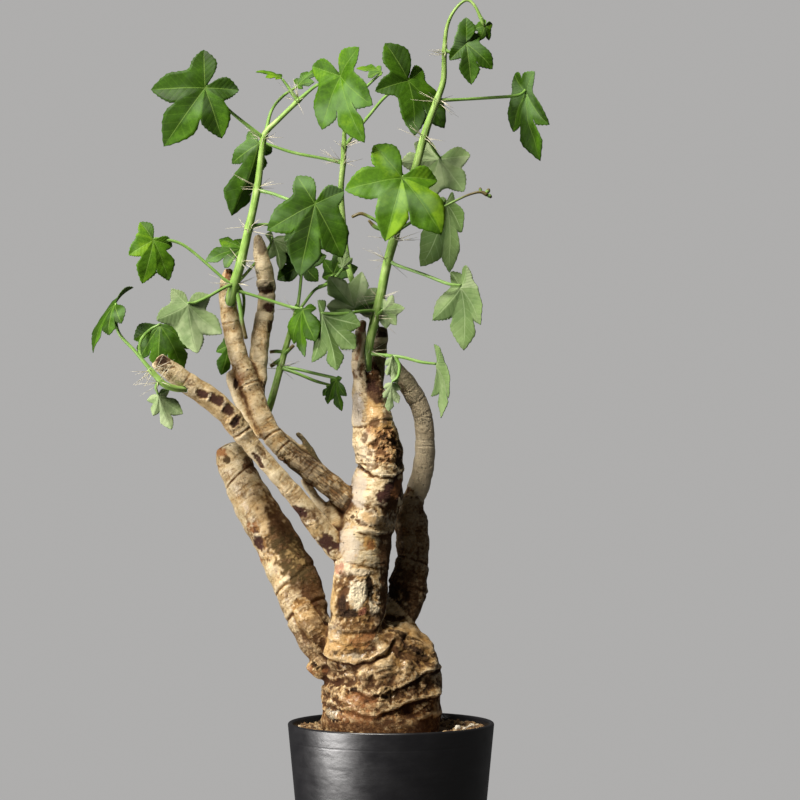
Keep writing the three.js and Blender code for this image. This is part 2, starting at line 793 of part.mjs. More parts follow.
// A leaf with its stalk, whose far end goes into the heel of the blade
function leaf({ stalk, tips, sinus = SINUS_DEPTH }) {
  const base = stalk.at(-1);
  const end = base.map((value, axis) => value - 0.6 * HEEL * tips[2][axis]);
  const stations = [
    [...stalk[0], STALK_FOOT * STALK_RADIUS],
    ...stalk.slice(1, -1).map((place) => [...place, STALK_RADIUS]),
    [...end, STALK_END * STALK_RADIUS],
  ];
  return joined([rod(stations, STALK_SIDES, stalk.length), blade(base, tips, sinus)]);
}

function stemOf({ stem }, grow = 0) {
  return rod(stem, STEM_SIDES, stem.length + 1, { grow });
}

function shoot(plan) {
  const twigs = plan.twigs.map((stations) => rod(stations, STALK_SIDES, stations.length));
  return joined([stemOf(plan), ...twigs, ...plan.leaves.map(leaf)]);
}

// The woody body, grown as one piece, with a socket for each shoot's foot
function caudex() {
  const wood = joined(Object.values(WOOD).map(limb));
  return Object.values(SHOOTS).reduce((left, plan) => left.subtract(stemOf(plan, GAP)), wood);
}

function outerRadius(height) {
  return BASE_RADIUS + ((RIM_RADIUS - BASE_RADIUS) * height) / POT_HEIGHT;
}

function innerRadius(height) {
  return outerRadius(height) - WALL;
}

function turned(profile, sides) {
  const geometry = new THREE.LatheGeometry(profile.map(([r, z]) => new THREE.Vector2(r, z)), sides);
  return geometry.rotateX(Math.PI / 2);
}

function pot() {
  const rimTop = POT_HEIGHT - RIM_ROUND;
  const shell = solidOf(turned([
    [0, 0],
    [BASE_RADIUS - 1, 0],
    [outerRadius(1), 1],
    [outerRadius(rimTop), rimTop],
    [RIM_RADIUS - 0.4 * RIM_ROUND, POT_HEIGHT - 0.3 * RIM_ROUND],
    [RIM_RADIUS - RIM_ROUND, POT_HEIGHT],
    [innerRadius(rimTop) + 0.4 * RIM_ROUND, POT_HEIGHT - 0.3 * RIM_ROUND],
    [innerRadius(rimTop), rimTop],
    [innerRadius(POT_FLOOR), POT_FLOOR],
    [0, POT_FLOOR],
  ], POT_SIDES));
  let drained = shell;
  for (let i = 0; i < DRAIN_COUNT; i++) {
    const angle = (2 * Math.PI * (i + 0.5)) / DRAIN_COUNT;
    const drain = new THREE.CylinderGeometry(DRAIN_RADIUS, DRAIN_RADIUS, 3 * POT_FLOOR, 12);
    drain.rotateX(Math.PI / 2).translate(DRAIN_CIRCLE * Math.cos(angle), DRAIN_CIRCLE * Math.sin(angle), 0);
    drained = drained.subtract(solidOf(drain));
  }
  return drained;
}

// Soil that fills the pot, with stones raised from its top and a plain hole for the wood's foot
function soil() {
  const random = seeded(7);
  const low = POT_FLOOR + GAP;
  const solids = [solidOf(turned([
    [0, low],
    [innerRadius(low) - GAP, low],
    [innerRadius(SOIL_LEVEL) - GAP, SOIL_LEVEL],
    [0, SOIL_LEVEL],
  ], POT_SIDES))];
  const { stations } = WOOD.base;
  const outermost = innerRadius(SOIL_LEVEL) - GAP - 1;
  for (let i = 0; i < STONE_COUNT; i++) {
    const size = STONE_SMALL + (STONE_LARGE - STONE_SMALL) * random();
    const angle = 2 * Math.PI * ((i + 0.6 * random()) / STONE_COUNT);
    const near = 36 + size;
    const distance = near + (outermost - size - near) * random();
    const stone = new THREE.IcosahedronGeometry(size, 0);
    stone.rotateX(6 * random()).rotateZ(6 * random()).scale(1, 0.85, 0.65);
    stone.translate(distance * Math.cos(angle), distance * Math.sin(angle), SOIL_LEVEL + 0.1 * size);
    solids.push(solidOf(stone));
  }
  return joined(solids).subtract(rod(stations, WOOD.base.sides, WOOD.base.rings, { grow: GAP }));
}

const plant = new THREE.Group();
plant.add(piece("pot", pot(), 0x1d1d20, 0.5));
plant.add(piece("soil", soil(), 0x9a7c4e, 0.95));
plant.add(piece("caudex", caudex(), 0xc2a578, 0.85));
for (const [name, plan] of Object.entries(SHOOTS)) plant.add(piece(name, shoot(plan), 0x4f8a2c, 0.55));

export default plant;
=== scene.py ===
"""The looks of a potted jatropha spicata: its pot, gravel, woody body and five green shoots.

Tables are in millimetres, as the viewer sees each place against the plane of the pot's axis, and then its
depth behind that plane. Meshes are in metres, +Z up, with the origin at the centre of the pot's underside.
"""
import math

import bpy
import bmesh
import numpy as np
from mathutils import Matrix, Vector, noise


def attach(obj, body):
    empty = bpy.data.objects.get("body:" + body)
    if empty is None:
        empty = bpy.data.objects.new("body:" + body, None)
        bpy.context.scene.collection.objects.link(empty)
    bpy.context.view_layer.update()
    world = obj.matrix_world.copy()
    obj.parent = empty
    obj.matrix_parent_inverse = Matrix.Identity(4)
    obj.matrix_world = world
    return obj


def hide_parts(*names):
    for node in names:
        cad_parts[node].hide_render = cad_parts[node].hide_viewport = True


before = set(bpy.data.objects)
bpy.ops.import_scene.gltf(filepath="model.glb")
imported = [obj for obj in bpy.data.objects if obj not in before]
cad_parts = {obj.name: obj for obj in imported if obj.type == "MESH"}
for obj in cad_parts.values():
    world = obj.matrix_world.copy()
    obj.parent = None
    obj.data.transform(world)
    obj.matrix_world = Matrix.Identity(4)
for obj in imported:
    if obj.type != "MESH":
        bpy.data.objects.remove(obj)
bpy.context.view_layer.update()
bpy.ops.object.select_all(action="DESELECT")

MM = 0.001

# The viewer's place and lens, and the photograph's measures: a pixel's size at the pot's axis, the column of
# the axis and the height of the top edge
EYE = (5.4, -1800.0, 309.2)
LENS = 135
SENSOR = 36
FARTHEST = 60
PIXEL = 0.6
AXIS_COLUMN = 391
PHOTO_TOP = 549.2

# The pot
POT_SIDES = 160
POT_HEIGHT = 116
RIM_RADIUS = 62
BASE_RADIUS = 51
WALL = 3
POT_FLOOR = 4
RIM_ROUND = 1.3
FOOT_ROUND = 1.2
CORNER_ROUND = 2.5
GROOVE_LEVEL = 105.5
SMOOTH_ANGLE = 40
DRAIN_SIDES = 32
DRAIN_RADIUS = 4
DRAIN_CIRCLE = 26
DRAIN_COUNT = 5

# The gravel: its stones lie in rings round the wood, with some pale ones at x, y and of a size
SOIL_LEVEL = 111
SOIL_SIDES = 96
GAP = 0.35
SOIL_HUE = 0.3
PALE_HUE = 2.0
STONE_SEED = 11
STONE_SHAPES = 4
STONE_SMALL = 1.1
STONE_LARGE = 2.3
STONE_STEP = 2.9
STONE_RINGS = 8
FIRST_RING = 37.6
WOOD_EDGE = 36.6
PALE_STONES = [(39.5, -9, 3.4), (44.5, -3, 2.6), (47, 5, 2.4), (49, 12, 2.2), (8, 41, 2.6)]

# The wood: folded, darker and aged bark lies between heights, the darker bark towards the bottom, corky bark
# between columns of the photograph
LIMB_SIDES = 40
LIMB_RINGS = 60
VOXEL = 0.92
END_DOME = 0.3
LIMB_BLEND = 1.2
LEAST_SHARE = 0.02
PATTERN_STEP = 300
FOLD_START = 117
FOLD_FULL = 124
SMOOTHING = 4
FINE_ROUNDS = 3
BROAD_ROUNDS = 28
SOCKET_ROWS = 5
SOCKET_SIDES = 16
SOCKET_RINGS = 24
DARKER_FROM = 133
DARKER_FULL = 113
AGED_FROM = 205
AGED_FULL = 125
CORK_START = (272, 288)
CORK_END = (356, 346)
MARK_EDGE = (1.15, 0.8)
MARK_BREAK = 0.22

# The stems
STEM_SIDES = 14
STEM_RINGS = 70
STALK_SIDES = 8
STALK_RADII = (1.3, 0.95, 0.75)
NODE_SWELL = 0.3
NODE_LENGTH = 2.2
SWELL_FROM = 14
SWELL_FULL = 26
STALK_KIND = 0.5
TWIG_KIND = 1.0

# The leaves
LEAF_SEED = 3
LEAF_ROWS = 27
JOINED_ROWS = 9
LEAF_COLUMNS = 5
BLADE = 0.45
LOBE_WIDTHS = [0.33, 0.29, 0.25, 0.29, 0.33]
WIDEST = 0.6
LOBE_TAPER = 1.6
SINUS_DEPTH = 0.53
SINUS_LIMIT = 0.75
OUTER_SPREAD = math.pi / 3
HEEL = 0.07
FOLD = 0.22
ARCH = 0.09
TOOTH = 0.3
RIPPLE = 0.035
SIDE_VEINS = 7.0

# The bristles
BRISTLES_A_NODE = 14
BRISTLE_LENGTHS = (7, 16)
BRISTLE_RADIUS = 0.22
NODE_SPACING = 7
NODE_REACH = 4

# The floor, with its radius and drop in metres, and the distances in millimetres over which it fades into the
# air of the room, which shows brighter to the viewer than it lights
FLOOR_SIDES = 96
FLOOR_RADIUS = 40
FLOOR_DROP = 0.0002
FLOOR_COLOUR = (0.62, 0.62, 0.61)
FLOOR_REFLECTED = (0.05, 0.05, 0.05)
FADE_START = 120
FADE_END = 420
AIR_COLOUR = (0.82, 0.81, 0.80)
AIR_STRENGTH = 0.52
AIR_LIGHT = 0.09


def leaf_plan(stalk, tips, tone=0.5, sinus=SINUS_DEPTH):
    """A leaf's stalk, its five tips from the stalk's end, its brightness, which on some leaves is painted
    light, and where its sinuses end
    """
    return {"stalk": stalk, "tips": tips, "tone": tone, "sinus": sinus}


# Each row of a limb or stem is x, z, depth and radius.
LIMBS = {
    "base": [
        (-6, 86, 0, 25), (-6.3, 96, 0, 33), (-6.5, 105, 0, 35.2), (-6.5, 114, 0, 35.8),
        (-6.4, 128, 0, 35.8), (-6.4, 141, 0, 35.6), (-8.4, 150, 0, 34), (-11.5, 158, 0, 31),
        (-14, 166, 0, 28), (-15, 173, 1, 23), (-15, 178, 2, 15.5),
    ],
    "front_trunk": [
        (-18, 145, -8, 15), (-20.7, 156, -13, 18.6), (-20.1, 167, -14, 18.2), (-20.1, 178, -14, 17.5),
        (-20, 190, -13, 16.9), (-18.5, 205, -12, 16.2), (-17, 219, -11, 15.9), (-14.5, 232, -9, 15.4),
        (-11.5, 243, -8, 15.8), (-8.4, 252, -7, 16), (-7.5, 261, -6, 15), (-5.1, 270, -6, 13.3),
        (-6.6, 279, -5, 14.2), (-9.3, 291, -5, 13.4), (-11.7, 303, -4, 11), (-13.2, 315, -4, 9.7),
        (-14.4, 326, -4, 8.2),
    ],
    "front_stub": [
        (-15, 312, -7, 6), (-18, 327, -8, 5.3), (-19.2, 339, -8, 4.2), (-18.3, 349, -8, 3.6),
        (-16.8, 357, -8, 2.6),
    ],
    "back_stub": [
        (-11, 314, 3, 6), (-8.4, 330, 4, 5), (-6.3, 344, 5, 4.5), (-5, 353, 6, 3.6),
    ],
    "left_trunk": [
        (-36, 152, -3, 9), (-44, 165, -1, 11.4), (-49.5, 177, 2, 12.8), (-53.4, 189, 5, 14),
        (-57.9, 201, 8, 14.6), (-64, 213, 12, 14), (-69.5, 225, 15, 13.2), (-76.5, 237, 18, 12.8),
        (-83.2, 249, 21, 12.1), (-89.1, 261, 24, 11), (-94, 273, 27, 10.2), (-96.4, 281, 29, 8),
    ],
    "left_foot": [
        (-40, 166, -9, 6), (-47, 174, -11, 6.6), (-54, 185, -9, 6),
    ],
    "rear_trunk": [
        (-2, 158, 4, 12), (1, 168, 7, 10), (3.5, 177, 10, 9.4), (6.5, 184, 12, 10.6),
        (9, 192, 14, 11.6), (10.4, 201, 16, 11.6), (12.8, 213, 18, 9.6), (12.8, 221, 19, 9.8),
        (12, 232, 20, 10.2), (11, 242, 20, 9.6), (12, 251, 20, 7.2),
    ],
    "curved_branch": [
        (12, 246, 20, 6.4), (16.8, 258, 21, 6.6), (19.4, 269, 22, 6.4), (20.4, 285, 22, 6.1),
        (18.4, 302, 20, 5.9), (12, 315, 17, 6), (5, 324.5, 14, 5.5), (0.5, 330.5, 12, 4.6),
    ],
    "low_branch": [
        (-22, 212, -9, 7), (-32, 220, -12, 7), (-43, 233, -14, 6.9), (-54.6, 248, -16, 6),
        (-66.6, 262.4, -18, 5.2), (-80.4, 278, -20, 5.3), (-90, 290, -22, 6.4),
        (-98.4, 301.2, -24, 6.7), (-108.6, 310.4, -26, 6.8), (-120, 318, -28, 6.4),
        (-130, 325.4, -30, 6.1), (-140.4, 333.4, -32, 5.2),
    ],
    "upper_branch": [
        (-18, 243, -8, 7.5), (-28, 251, -9, 7.2), (-37, 258.5, -9, 7), (-47.4, 266.4, -9, 7),
        (-59.4, 275.4, -8, 6.4), (-69.4, 285, -7, 6.1), (-76.2, 297, -6, 6), (-81.2, 309, -5, 6),
        (-86, 321, -4, 6.2), (-90.6, 333, -4, 5.9), (-93.8, 345, -3, 5.7), (-96.2, 357, -3, 5.6),
        (-97.8, 369, -3, 5.4), (-98, 379, -3, 4.8), (-97, 388, -3, 2.9),
    ],
    "second_branch": [
        (-80, 311, -3, 4), (-79, 321, 1, 4.6), (-79.6, 332, 4, 5.6), (-78.6, 345, 7, 5.8),
        (-76.4, 357, 9, 5.9), (-74.6, 369, 11, 5.3), (-75, 381, 12, 5.5), (-77.4, 393, 13, 5),
        (-79.2, 403, 14, 3.9), (-79.6, 408, 14, 2.4),
    ],
    "side_stub": [
        (-78.6, 287, -5, 3.4), (-85, 298, -5, 3.7), (-90.4, 308, -5, 3.7), (-94.6, 318, -5, 3.6),
        (-97.2, 326, -5, 2.7),
    ],
    "thin_rear_twig": [
        (-46, 268, -5, 3), (-51, 276, -3, 2.7), (-60, 284, -1, 2.3), (-68.4, 291.5, -1, 2.2),
    ],
    "rear_stub": [
        (-43, 268, -6, 3), (-46, 275, -4, 2.2), (-50, 282, -2, 1.9), (-56.4, 289.6, 0, 1.7),
    ],
    "thin_low_twig": [
        (-34, 238, -3, 4), (-42.5, 247, -3, 3), (-49, 256, -3, 2.7), (-53, 262, -4, 2.2),
    ],
    "side_knob": [
        (-20, 226, -4, 7), (-28.5, 234, -4, 7), (-32.5, 244, -3, 6), (-33, 250, -2, 4.2),
    ],
    "base_knob": [
        (-37, 143, -4, 5), (-44, 147, -5, 4.6), (-48.5, 151, -5, 3.8),
    ],
}

SHOOTS = {
    "shoot_left": {
        "stem": [
            (-97, 366, -5, 2.8), (-95.6, 372, -8.5, 3.3), (-93.6, 380, -10, 3.1), (-90, 392, -11, 2.8),
            (-85.6, 411, -12, 2.5), (-80.4, 435, -12, 2.2), (-77.4, 459, -12, 1.9),
            (-75.4, 469, -12, 1.8), (-67.8, 477, -12, 1.5), (-54, 490.4, -12, 1.4),
        ],
        "leaves": [
            leaf_plan(
                [(-76, 466, -12), (-96, 482, -18), (-104, 491, -21), (-111.6, 496.4, -26)],
                [(-1, 23, 4), (-32, -1, 0), (-24, -35, -4), (10, -30, -1), (20, -1, 3)], 0.45,
            ),
            leaf_plan(
                [(-56, 488.5, -12), (-61, 496, -12), (-66, 502, -12)],
                [(-3, 3, 5), (-9, 5, 6), (-15, 4, 0), (-9, 0, -6), (-3, -1, -5)], 0.95, 0.72,
            ),
            leaf_plan(
                [(-56, 488.5, -12), (-46, 497, -15), (-37, 501.5, -20), (-30, 503.6, -25)],
                [(-17, 7, 10), (-11, -31, 8), (14, -40, -6), (19, -19, -18), (11, 16, -10)], 0.7,
            ),
            leaf_plan(
                [(-75.6, 467, -11.5), (-72, 482, -2), (-65.4, 491, 4), (-55.8, 497.6, 8)],
                [(3, -2, -3), (10, 2, -4), (13, 10, 0), (6, 9, 4), (-1, 5, 3)], 0.5, 0.72,
            ),
            leaf_plan(
                [(-80.4, 435.2, -12), (-71, 433, -15), (-60, 429, -20), (-50, 427, -27), (-45.6, 426.8, -31)],
                [(-11, 17, 6), (-28, -16, -2), (-9, -43, -6), (16, -32, -2), (17, 8, 6)],
            ),
            leaf_plan(
                [(-85, 413, -12), (-78, 414.5, -9), (-66, 414, -7), (-52, 412, -8)],
                [(-4, 10, 2), (-12, -8, -2), (4, -22, -5), (17, -12, -2), (16, 6, 2)], 0.3,
            ),
            leaf_plan(
                [(-93, 379, -9), (-87, 385, 10), (-80, 393, 21), (-73, 401, 21), (-70.8, 405.8, 15)],
                [(8, 2, 4), (14, -6, -3), (5, -19, -5), (-3, -12, 7), (-5, 3, 6)], 0.6, 0.62,
            ),
            leaf_plan(
                [(-94.6, 376.5, -9.5), (-98, 377.5, -14), (-110, 371, -20),
                 (-118, 367.5, -23), (-121.8, 366.2, -26)],
                [(13, 6, 8), (20, -17, 2), (6, -29, -10), (-18, -9, -8), (-10, 10, 4)], 0.9, 0.68,
            ),
            leaf_plan(
                [(-95, 378, -9.5), (-101, 382.5, -12), (-123.6, 401.6, -13),
                 (-137, 405.5, -15), (-142.8, 405, -18)],
                [(-8, 11, 4), (-14, -9, -6), (-6, -26, -6), (9, -24, 2), (11, -3, 6)], 0.75, 0.66,
            ),
            leaf_plan(
                [(-90, 392, -11), (-89, 397, -5), (-89.5, 400, 0)],
                [(-4, 6, 6), (-14, 6, 5), (-22, -8, 0), (-10, -12, -7), (-3, -7, -4)], 0.7, 0.72,
            ),
            leaf_plan(
                [(-93.5, 375, -9.5), (-86, 373, -8.5), (-73, 369, -8), (-60, 365, -8), (-52.8, 363.2, -12)],
                [(-5, 2, 5), (-6, -20, 10), (1, -28, 2), (8, -19, -10), (8, 1, 0)], 0.6,
            ),
            leaf_plan(
                [(-93, 379, -9), (-88.5, 372, -3), (-89, 360, 5), (-93, 348, 9), (-97, 342, 9)],
                [(-3, 5, 3), (-8, -4, 0), (-5, -18, -1), (3, -11, 3), (5, 2, 4)], 0.45, 0.68,
            ),
        ],
        "twigs": [
            [(-93.6, 377, -9.5, 1.4), (-91, 368, -10, 1.3), (-89.5, 357, -9.5, 1.3), (-87, 346, -8.5, 1.2)],
        ],
    },
    "shoot_mid": {
        "stem": [
            (-6.5, 345, 5, 1.7), (-9, 354, 9, 1.8), (-16, 366, 15, 1.8), (-23.4, 381, 21, 1.8),
            (-27, 399, 25, 1.8), (-28.8, 417, 27, 1.8), (-30, 435, 28, 1.8), (-28.8, 450, 28, 1.7),
            (-28.2, 461, 28, 1.6), (-27.6, 474, 27, 1.1), (-25.2, 487, 26, 0.9),
        ],
        "leaves": [
            leaf_plan(
                [(-29, 451.5, 28), (-40, 454, 31), (-60, 458, 32), (-79.8, 462.8, 30)],
                [(-6, 8, 4), (-16, -12, 0), (-16, -44, -3), (-1, -18, 8), (8, -5, 6)], 0.45,
            ),
            leaf_plan(
                [(-28.2, 460.5, 28), (-22, 469, 27), (-12.6, 480.5, 25), (-3.6, 491, 22), (10.2, 500.6, 19)],
                [(-14, 23, 0), (-20, -7, -8), (4, -34, -8), (22, -28, 8), (9, 8, 10)],
            ),
            leaf_plan(
                [(-25.5, 485.5, 26), (-17, 495, 25), (-6, 506, 24)],
                [(-2, 4, 3), (-9, 4, 6), (-15, 2, 0), (-8, -4, -6), (-2, -3, -3)], 0.85, 0.7,
            ),
            leaf_plan(
                [(-25.6, 484, 26), (-25.2, 488, 25)],
                [(4, 1, 2), (4, -9, 3), (-4, -16, 0), (-7, -8, -2), (-3, 2, 2)], 0.6, 0.68,
            ),
        ],
        "twigs": [],
    },
    "shoot_tall": {
        "stem": [
            (-14.4, 318, -5, 2.4), (-14.2, 330, -8, 2.5), (-12.6, 345, -9, 2.7), (-6.6, 370, -8, 2.8),
            (-1.8, 393, -7, 2.7), (7.8, 426, -6, 2.6), (14.4, 447, -5, 2.5), (21, 471, -4, 2.3),
            (27.6, 489, -3, 2), (31.5, 501, -2, 1.8), (32, 515, -2, 1.5), (33, 530, -2, 1.2),
            (36, 539.5, -2, 1), (41.4, 546.8, -2, 0.9), (46.4, 549, -2, 0.9), (51, 544.5, -3, 0.9),
            (55.8, 533.6, -4, 0.9),
        ],
        "leaves": [
            leaf_plan(
                [(0.6, 405, -6.5), (3, 414, -14), (6, 430, -24), (6.6, 442.4, -29)],
                [(-17, 20, 6), (-34, -7, -2), (-10, -38, -8), (23, -34, -6), (21, -1, 8)], 0.85,
            ),
            leaf_plan(
                [(19.5, 466, -4.5), (23, 464, 2), (26, 459, 9), (28.8, 453.8, 14)],
                [(19, 2, -4), (15, -20, -4), (-9, -26, 6), (-24, -2, 3), (-15, 10, 1)], 0.75, 0.68,
            ),
            leaf_plan(
                [(0.6, 405, -6.5), (5, 411, 0), (14, 417, 7), (24, 423, 12), (33, 427.4, 14)],
                [(4, 6, -5), (9, -18, -14), (1, -42, -6), (-15, -38, 12), (-6, 2, 6)], 0.3, 0.6,
            ),
            leaf_plan(
                [(27.6, 489, -3), (40, 489.4, 1), (60, 490.6, 6), (76, 492, 11), (81.6, 494, 14)],
                [(-7, 12, 11), (-8, -23, 13), (8, -42, -4), (13, -21, -13), (4, 11, -13)],
            ),
            leaf_plan(
                [(32, 519.5, -2), (35, 518, -4), (39, 518, -7), (45, 522.8, -12)],
                [(0, 16, 3), (-10, -10, -4), (3, -25, -6), (16, -15, -2), (8, 6, 5)], 0.55,
            ),
            leaf_plan(
                [(54, 538.5, -3.6), (55.8, 533.2, -4)],
                [(-1, 5, 3), (-7, -2, -2), (-3, -9, -4), (3, -8, 2), (5, 2, 4)], 0.8, 0.65,
            ),
            leaf_plan(
                [(-1.8, 393, -7), (4, 390, -10), (20, 384.4, -18), (34, 379, -24), (42, 376.4, -25)],
                [(3, 13, -8), (11, -22, -8), (2, -37, 4), (-17, -19, 8), (-6, 10, 5)], 0.6, 0.6,
            ),
            leaf_plan(
                [(-12.6, 337, -9), (-8, 336.5, -12), (6, 335, -16), (18, 332, -19), (27, 329.6, -20)],
                [(2, 10, -9), (7, -19, -13), (3, -31, 0), (-3, -18, 13), (-1, 13, 6)], 0.7, 0.6,
            ),
            leaf_plan(
                [(-9.5, 359, -8.5), (-7, 361, -11.5), (-4.8, 363.2, -14)],
                [(0, 7, 3), (6, 9, 0), (13, 1, -2), (8, -9, 0), (2, -11, 3)], 0.8, 0.72,
            ),
            leaf_plan(
                [(-3, 336, -13.4), (-0.5, 335.6, -15.5), (0.6, 335, -17)],
                [(4, -1, 2), (5, -10, 2), (3, -16, -1), (-3, -11, -2), (-4, -5, 0)], 0.95, 0.72,
            ),
            leaf_plan(
                [(2, 335.4, -14.8), (5, 330, -16), (4, 323, -18), (0.6, 319.4, -19)],
                [(5, -4, 3), (4, -12, 1), (-2, -17, -1), (-5, -9, 0), (-5, -3, 1)], 0.95, 0.68,
            ),
            leaf_plan(
                [(-8.7, 362, -8.5), (-12, 362.8, -12), (-18, 362.4, -17),
                 (-30, 361, -21), (-41.4, 360.2, -23)],
                [(23, -6, -2), (20, -20, -4), (9, -33, -10), (-6, -28, 4), (-3, 9, 9)], 0.35, 0.64,
            ),
            leaf_plan(
                [(-7, 368, -8.2), (-12, 367, -4), (-17, 365.5, -1), (-21.6, 364.4, 1)],
                [(-17, 1, -4), (-16, 19, -1), (4, 22, 3), (13, 12, -4), (12, -1, -7)], 0.9, 0.66,
            ),
        ],
        "twigs": [
            [(7.8, 426, -6, 0.9), (18, 423, -10, 0.8), (29.4, 424.4, -10, 0.8),
             (38.4, 428.6, -9, 0.7), (46.2, 432.2, -8, 0.7), (53.4, 434, -8, 0.9), (57.6, 432.4, -8, 1.3)],
            [(56.4, 432.6, -8, 0.8), (58.2, 434.6, -7.5, 1.3), (58.8, 436, -7.5, 0.7)],
            [(57, 432.4, -8, 0.8), (59.2, 431.6, -7, 1.2), (60.2, 430.6, -6.5, 0.7)],
            [(54, 433.8, -8, 0.7), (53.6, 435.6, -7.5, 1.0), (53.4, 436.6, -7.5, 0.6)],
            [(0.6, 406, -6.5, 1), (-4.2, 411.2, -8, 0.9), (-7.8, 416, -9, 0.9),
             (-14.4, 419.8, -9, 1), (-18.6, 421, -9, 1), (-23.4, 419, -9, 0.9)],
            [(-3.5, 410.4, -8, 0.8), (-9.4, 413, -9, 1.3), (-13.4, 417, -10, 0.8)],
        ],
    },
    "shoot_back": {
        "stem": [
            (-76.6, 293, -2, 2.1), (-75, 299.5, 5, 2.4), (-72, 308, 10, 2.3), (-68.4, 321, 14, 2.2),
            (-64.8, 334.5, 16, 2), (-60.6, 349.5, 17, 1.7), (-56.4, 363, 17, 1.4),
        ],
        "leaves": [
            leaf_plan(
                [(-56.6, 362, 17), (-55, 372, 19), (-53.8, 384, 21), (-53.4, 390, 22)],
                [(10, -10, -3), (15, 6, 0), (1, 20, 4), (-14, 8, 2), (-15, -9, -3)], 0.4,
            ),
            leaf_plan(
                [(-57, 361, 17), (-53, 366, 19), (-46, 375, 25), (-39.6, 378.5, 30), (-34.5, 385, 34)],
                [(4, -8, 2), (15, 4, 0), (8, 17, -1), (-6, 9, 2), (-7, -2, 4)], 0.5, 0.64,
            ),
            leaf_plan(
                [(-43, 377, 27), (-36, 380, 18), (-29, 388.5, 12)],
                [(-3, 2, 1), (-2, 8, 0), (2, 11, -1), (6, 6, -1), (4, 0, 1)], 0.5, 0.68,
            ),
            leaf_plan(
                [(-66.4, 328.5, 15), (-58, 328, 12), (-45, 325, 9), (-36, 323, 7), (-32.4, 321.5, 6)],
                [(-4, -2, 5), (-5, -13, 5), (3, -19, 0), (6, -10, -5), (3, 1, -4)], 0.5,
            ),
            leaf_plan(
                [(-66.3, 328.8, 15), (-56, 325, 11), (-45, 320.5, 11), (-36, 317.6, 14)],
                [(-3, 0, 2), (-5, -6, 2), (-2, -11, 0), (2, -7, -2), (2, 0, -2)], 0.45,
            ),
        ],
        "twigs": [
            [(-64, 338, 16, 1.1), (-69, 338.4, 16, 1.1), (-72.6, 338, 16, 1)],
            [(-65, 334, 16, 1.5), (-69, 331.6, 15, 1.4), (-72.2, 329.4, 14, 1.3)],
            [(-64.4, 336, 16, 1.3), (-61, 339.5, 13, 1.2), (-58.4, 342, 12, 1.1)],
        ],
    },
    "shoot_low": {
        "stem": [
            (-122.5, 315.5, -31, 1.6), (-129, 316, -36.5, 1.9), (-136, 318.5, -40, 1.9),
            (-141, 323.5, -40.5, 1.7), (-145, 328, -40.5, 1.4),
        ],
        "leaves": [
            leaf_plan(
                [(-143.5, 326.5, -40.5), (-153.6, 338.5, -40), (-163.8, 350.6, -38), (-165.6, 366, -33)],
                [(10, 11, 8), (-15, -17, 14), (-13, -28, 0), (-2, -18, -14), (5, -11, -12)], 0.35,
            ),
            leaf_plan(
                [(-144.5, 327.5, -40), (-150, 335, -36), (-150.5, 344, -26),
                 (-145, 351, -17), (-138.6, 353.6, -16)],
                [(-16, -8, 4), (-12, -20, 0), (-1, -26, -4), (14, -27, 0), (17, -13, 12)], 0.5, 0.62,
            ),
            leaf_plan(
                [(-138.5, 321, -40.3), (-141, 317, -41), (-139.5, 312, -40)],
                [(6, 3, 4), (14, -11, 5), (8, -20, -3), (-3, -12, -2), (-7, -3, 3)], 0.8, 0.74,
            ),
        ],
        "twigs": [],
    },
}

# The swellings round a limb: their pitch, height, lobing, fine rings and crust, the last row for thin limbs
FOLDS = {
    "base": (15, 0.6, 0.05, 0.25, 0.27),
    "front_trunk": (13, 0.5, 0.05, 0.22, 0.24),
    "left_trunk": (12, 0.4, 0.04, 0.16, 0.18),
    "rear_trunk": (13, 0.6, 0.04, 0.25, 0.4),
    "curved_branch": (11, 0.2, 0.02, 0.22, 0.12),
    "": (11, 0.25, 0.02, 0.1, 0.18),
}

# How much paler or browner than the rest each limb's bark is; the curved branch's paleness is painted light,
# where it lies in shadow
LIMB_TONE_AND_LIGHT = {
    "base": -0.02, "front_trunk": -0.035, "left_trunk": -0.03, "low_branch": -0.10, "upper_branch": -0.105,
    "side_stub": -0.08, "second_branch": 0.01, "curved_branch": 0.16, "rear_trunk": 0.07, "left_foot": -0.10,
}

# The folds that sag over each other round the base
SAG_PITCH = 13.5
SAG_HEIGHT = 2.4
SAG_SLANT = 0.3

# Overhanging folds on the near side: the limbs that they cross, their line from left to right in the
# photograph's pixels, and their height in millimetres
LEDGES = [
    (("front_trunk", "base"),
     [(316, 650), (326, 656), (338, 662), (356, 664), (374, 660), (388, 651), (394, 640)], 2.6),
    (("base",), [(352, 690), (372, 697), (392, 693), (410, 685), (424, 675), (440, 668)], 1.9),
    (("base",), [(356, 714), (378, 716), (396, 710), (414, 702), (440, 694)], 1.7),
    (("base",), [(322, 703), (340, 709), (356, 712)], 0.9),
    (("base",), [(386, 640), (396, 650), (402, 660)], 1.2),
    (("base",), [(391, 629), (408, 636), (428, 648)], 1.0),
    (("base",), [(391, 641), (410, 649), (430, 659)], 0.9),
    (("base",), [(318, 676), (334, 680), (350, 677)], 0.9),
    (("base",), [(322, 722), (350, 727), (380, 726), (410, 722), (440, 716)], 0.8),
    (("front_trunk",), [(352, 462), (362, 467), (380, 477), (392, 478), (406, 470)], 1.9),
    (("front_trunk",), [(360, 455), (376, 462), (390, 463), (405, 456)], 0.9),
    (("front_trunk",), [(346, 500), (360, 503), (386, 508), (406, 505)], 0.6),
    (("front_trunk",), [(360, 533), (378, 535), (394, 534), (404, 530)], 1.1),
    (("front_trunk",), [(330, 640), (345, 645), (368, 644), (388, 634)], 1.0),
    (("front_trunk",), [(330, 628), (350, 634), (372, 632), (389, 624)], 0.8),
]

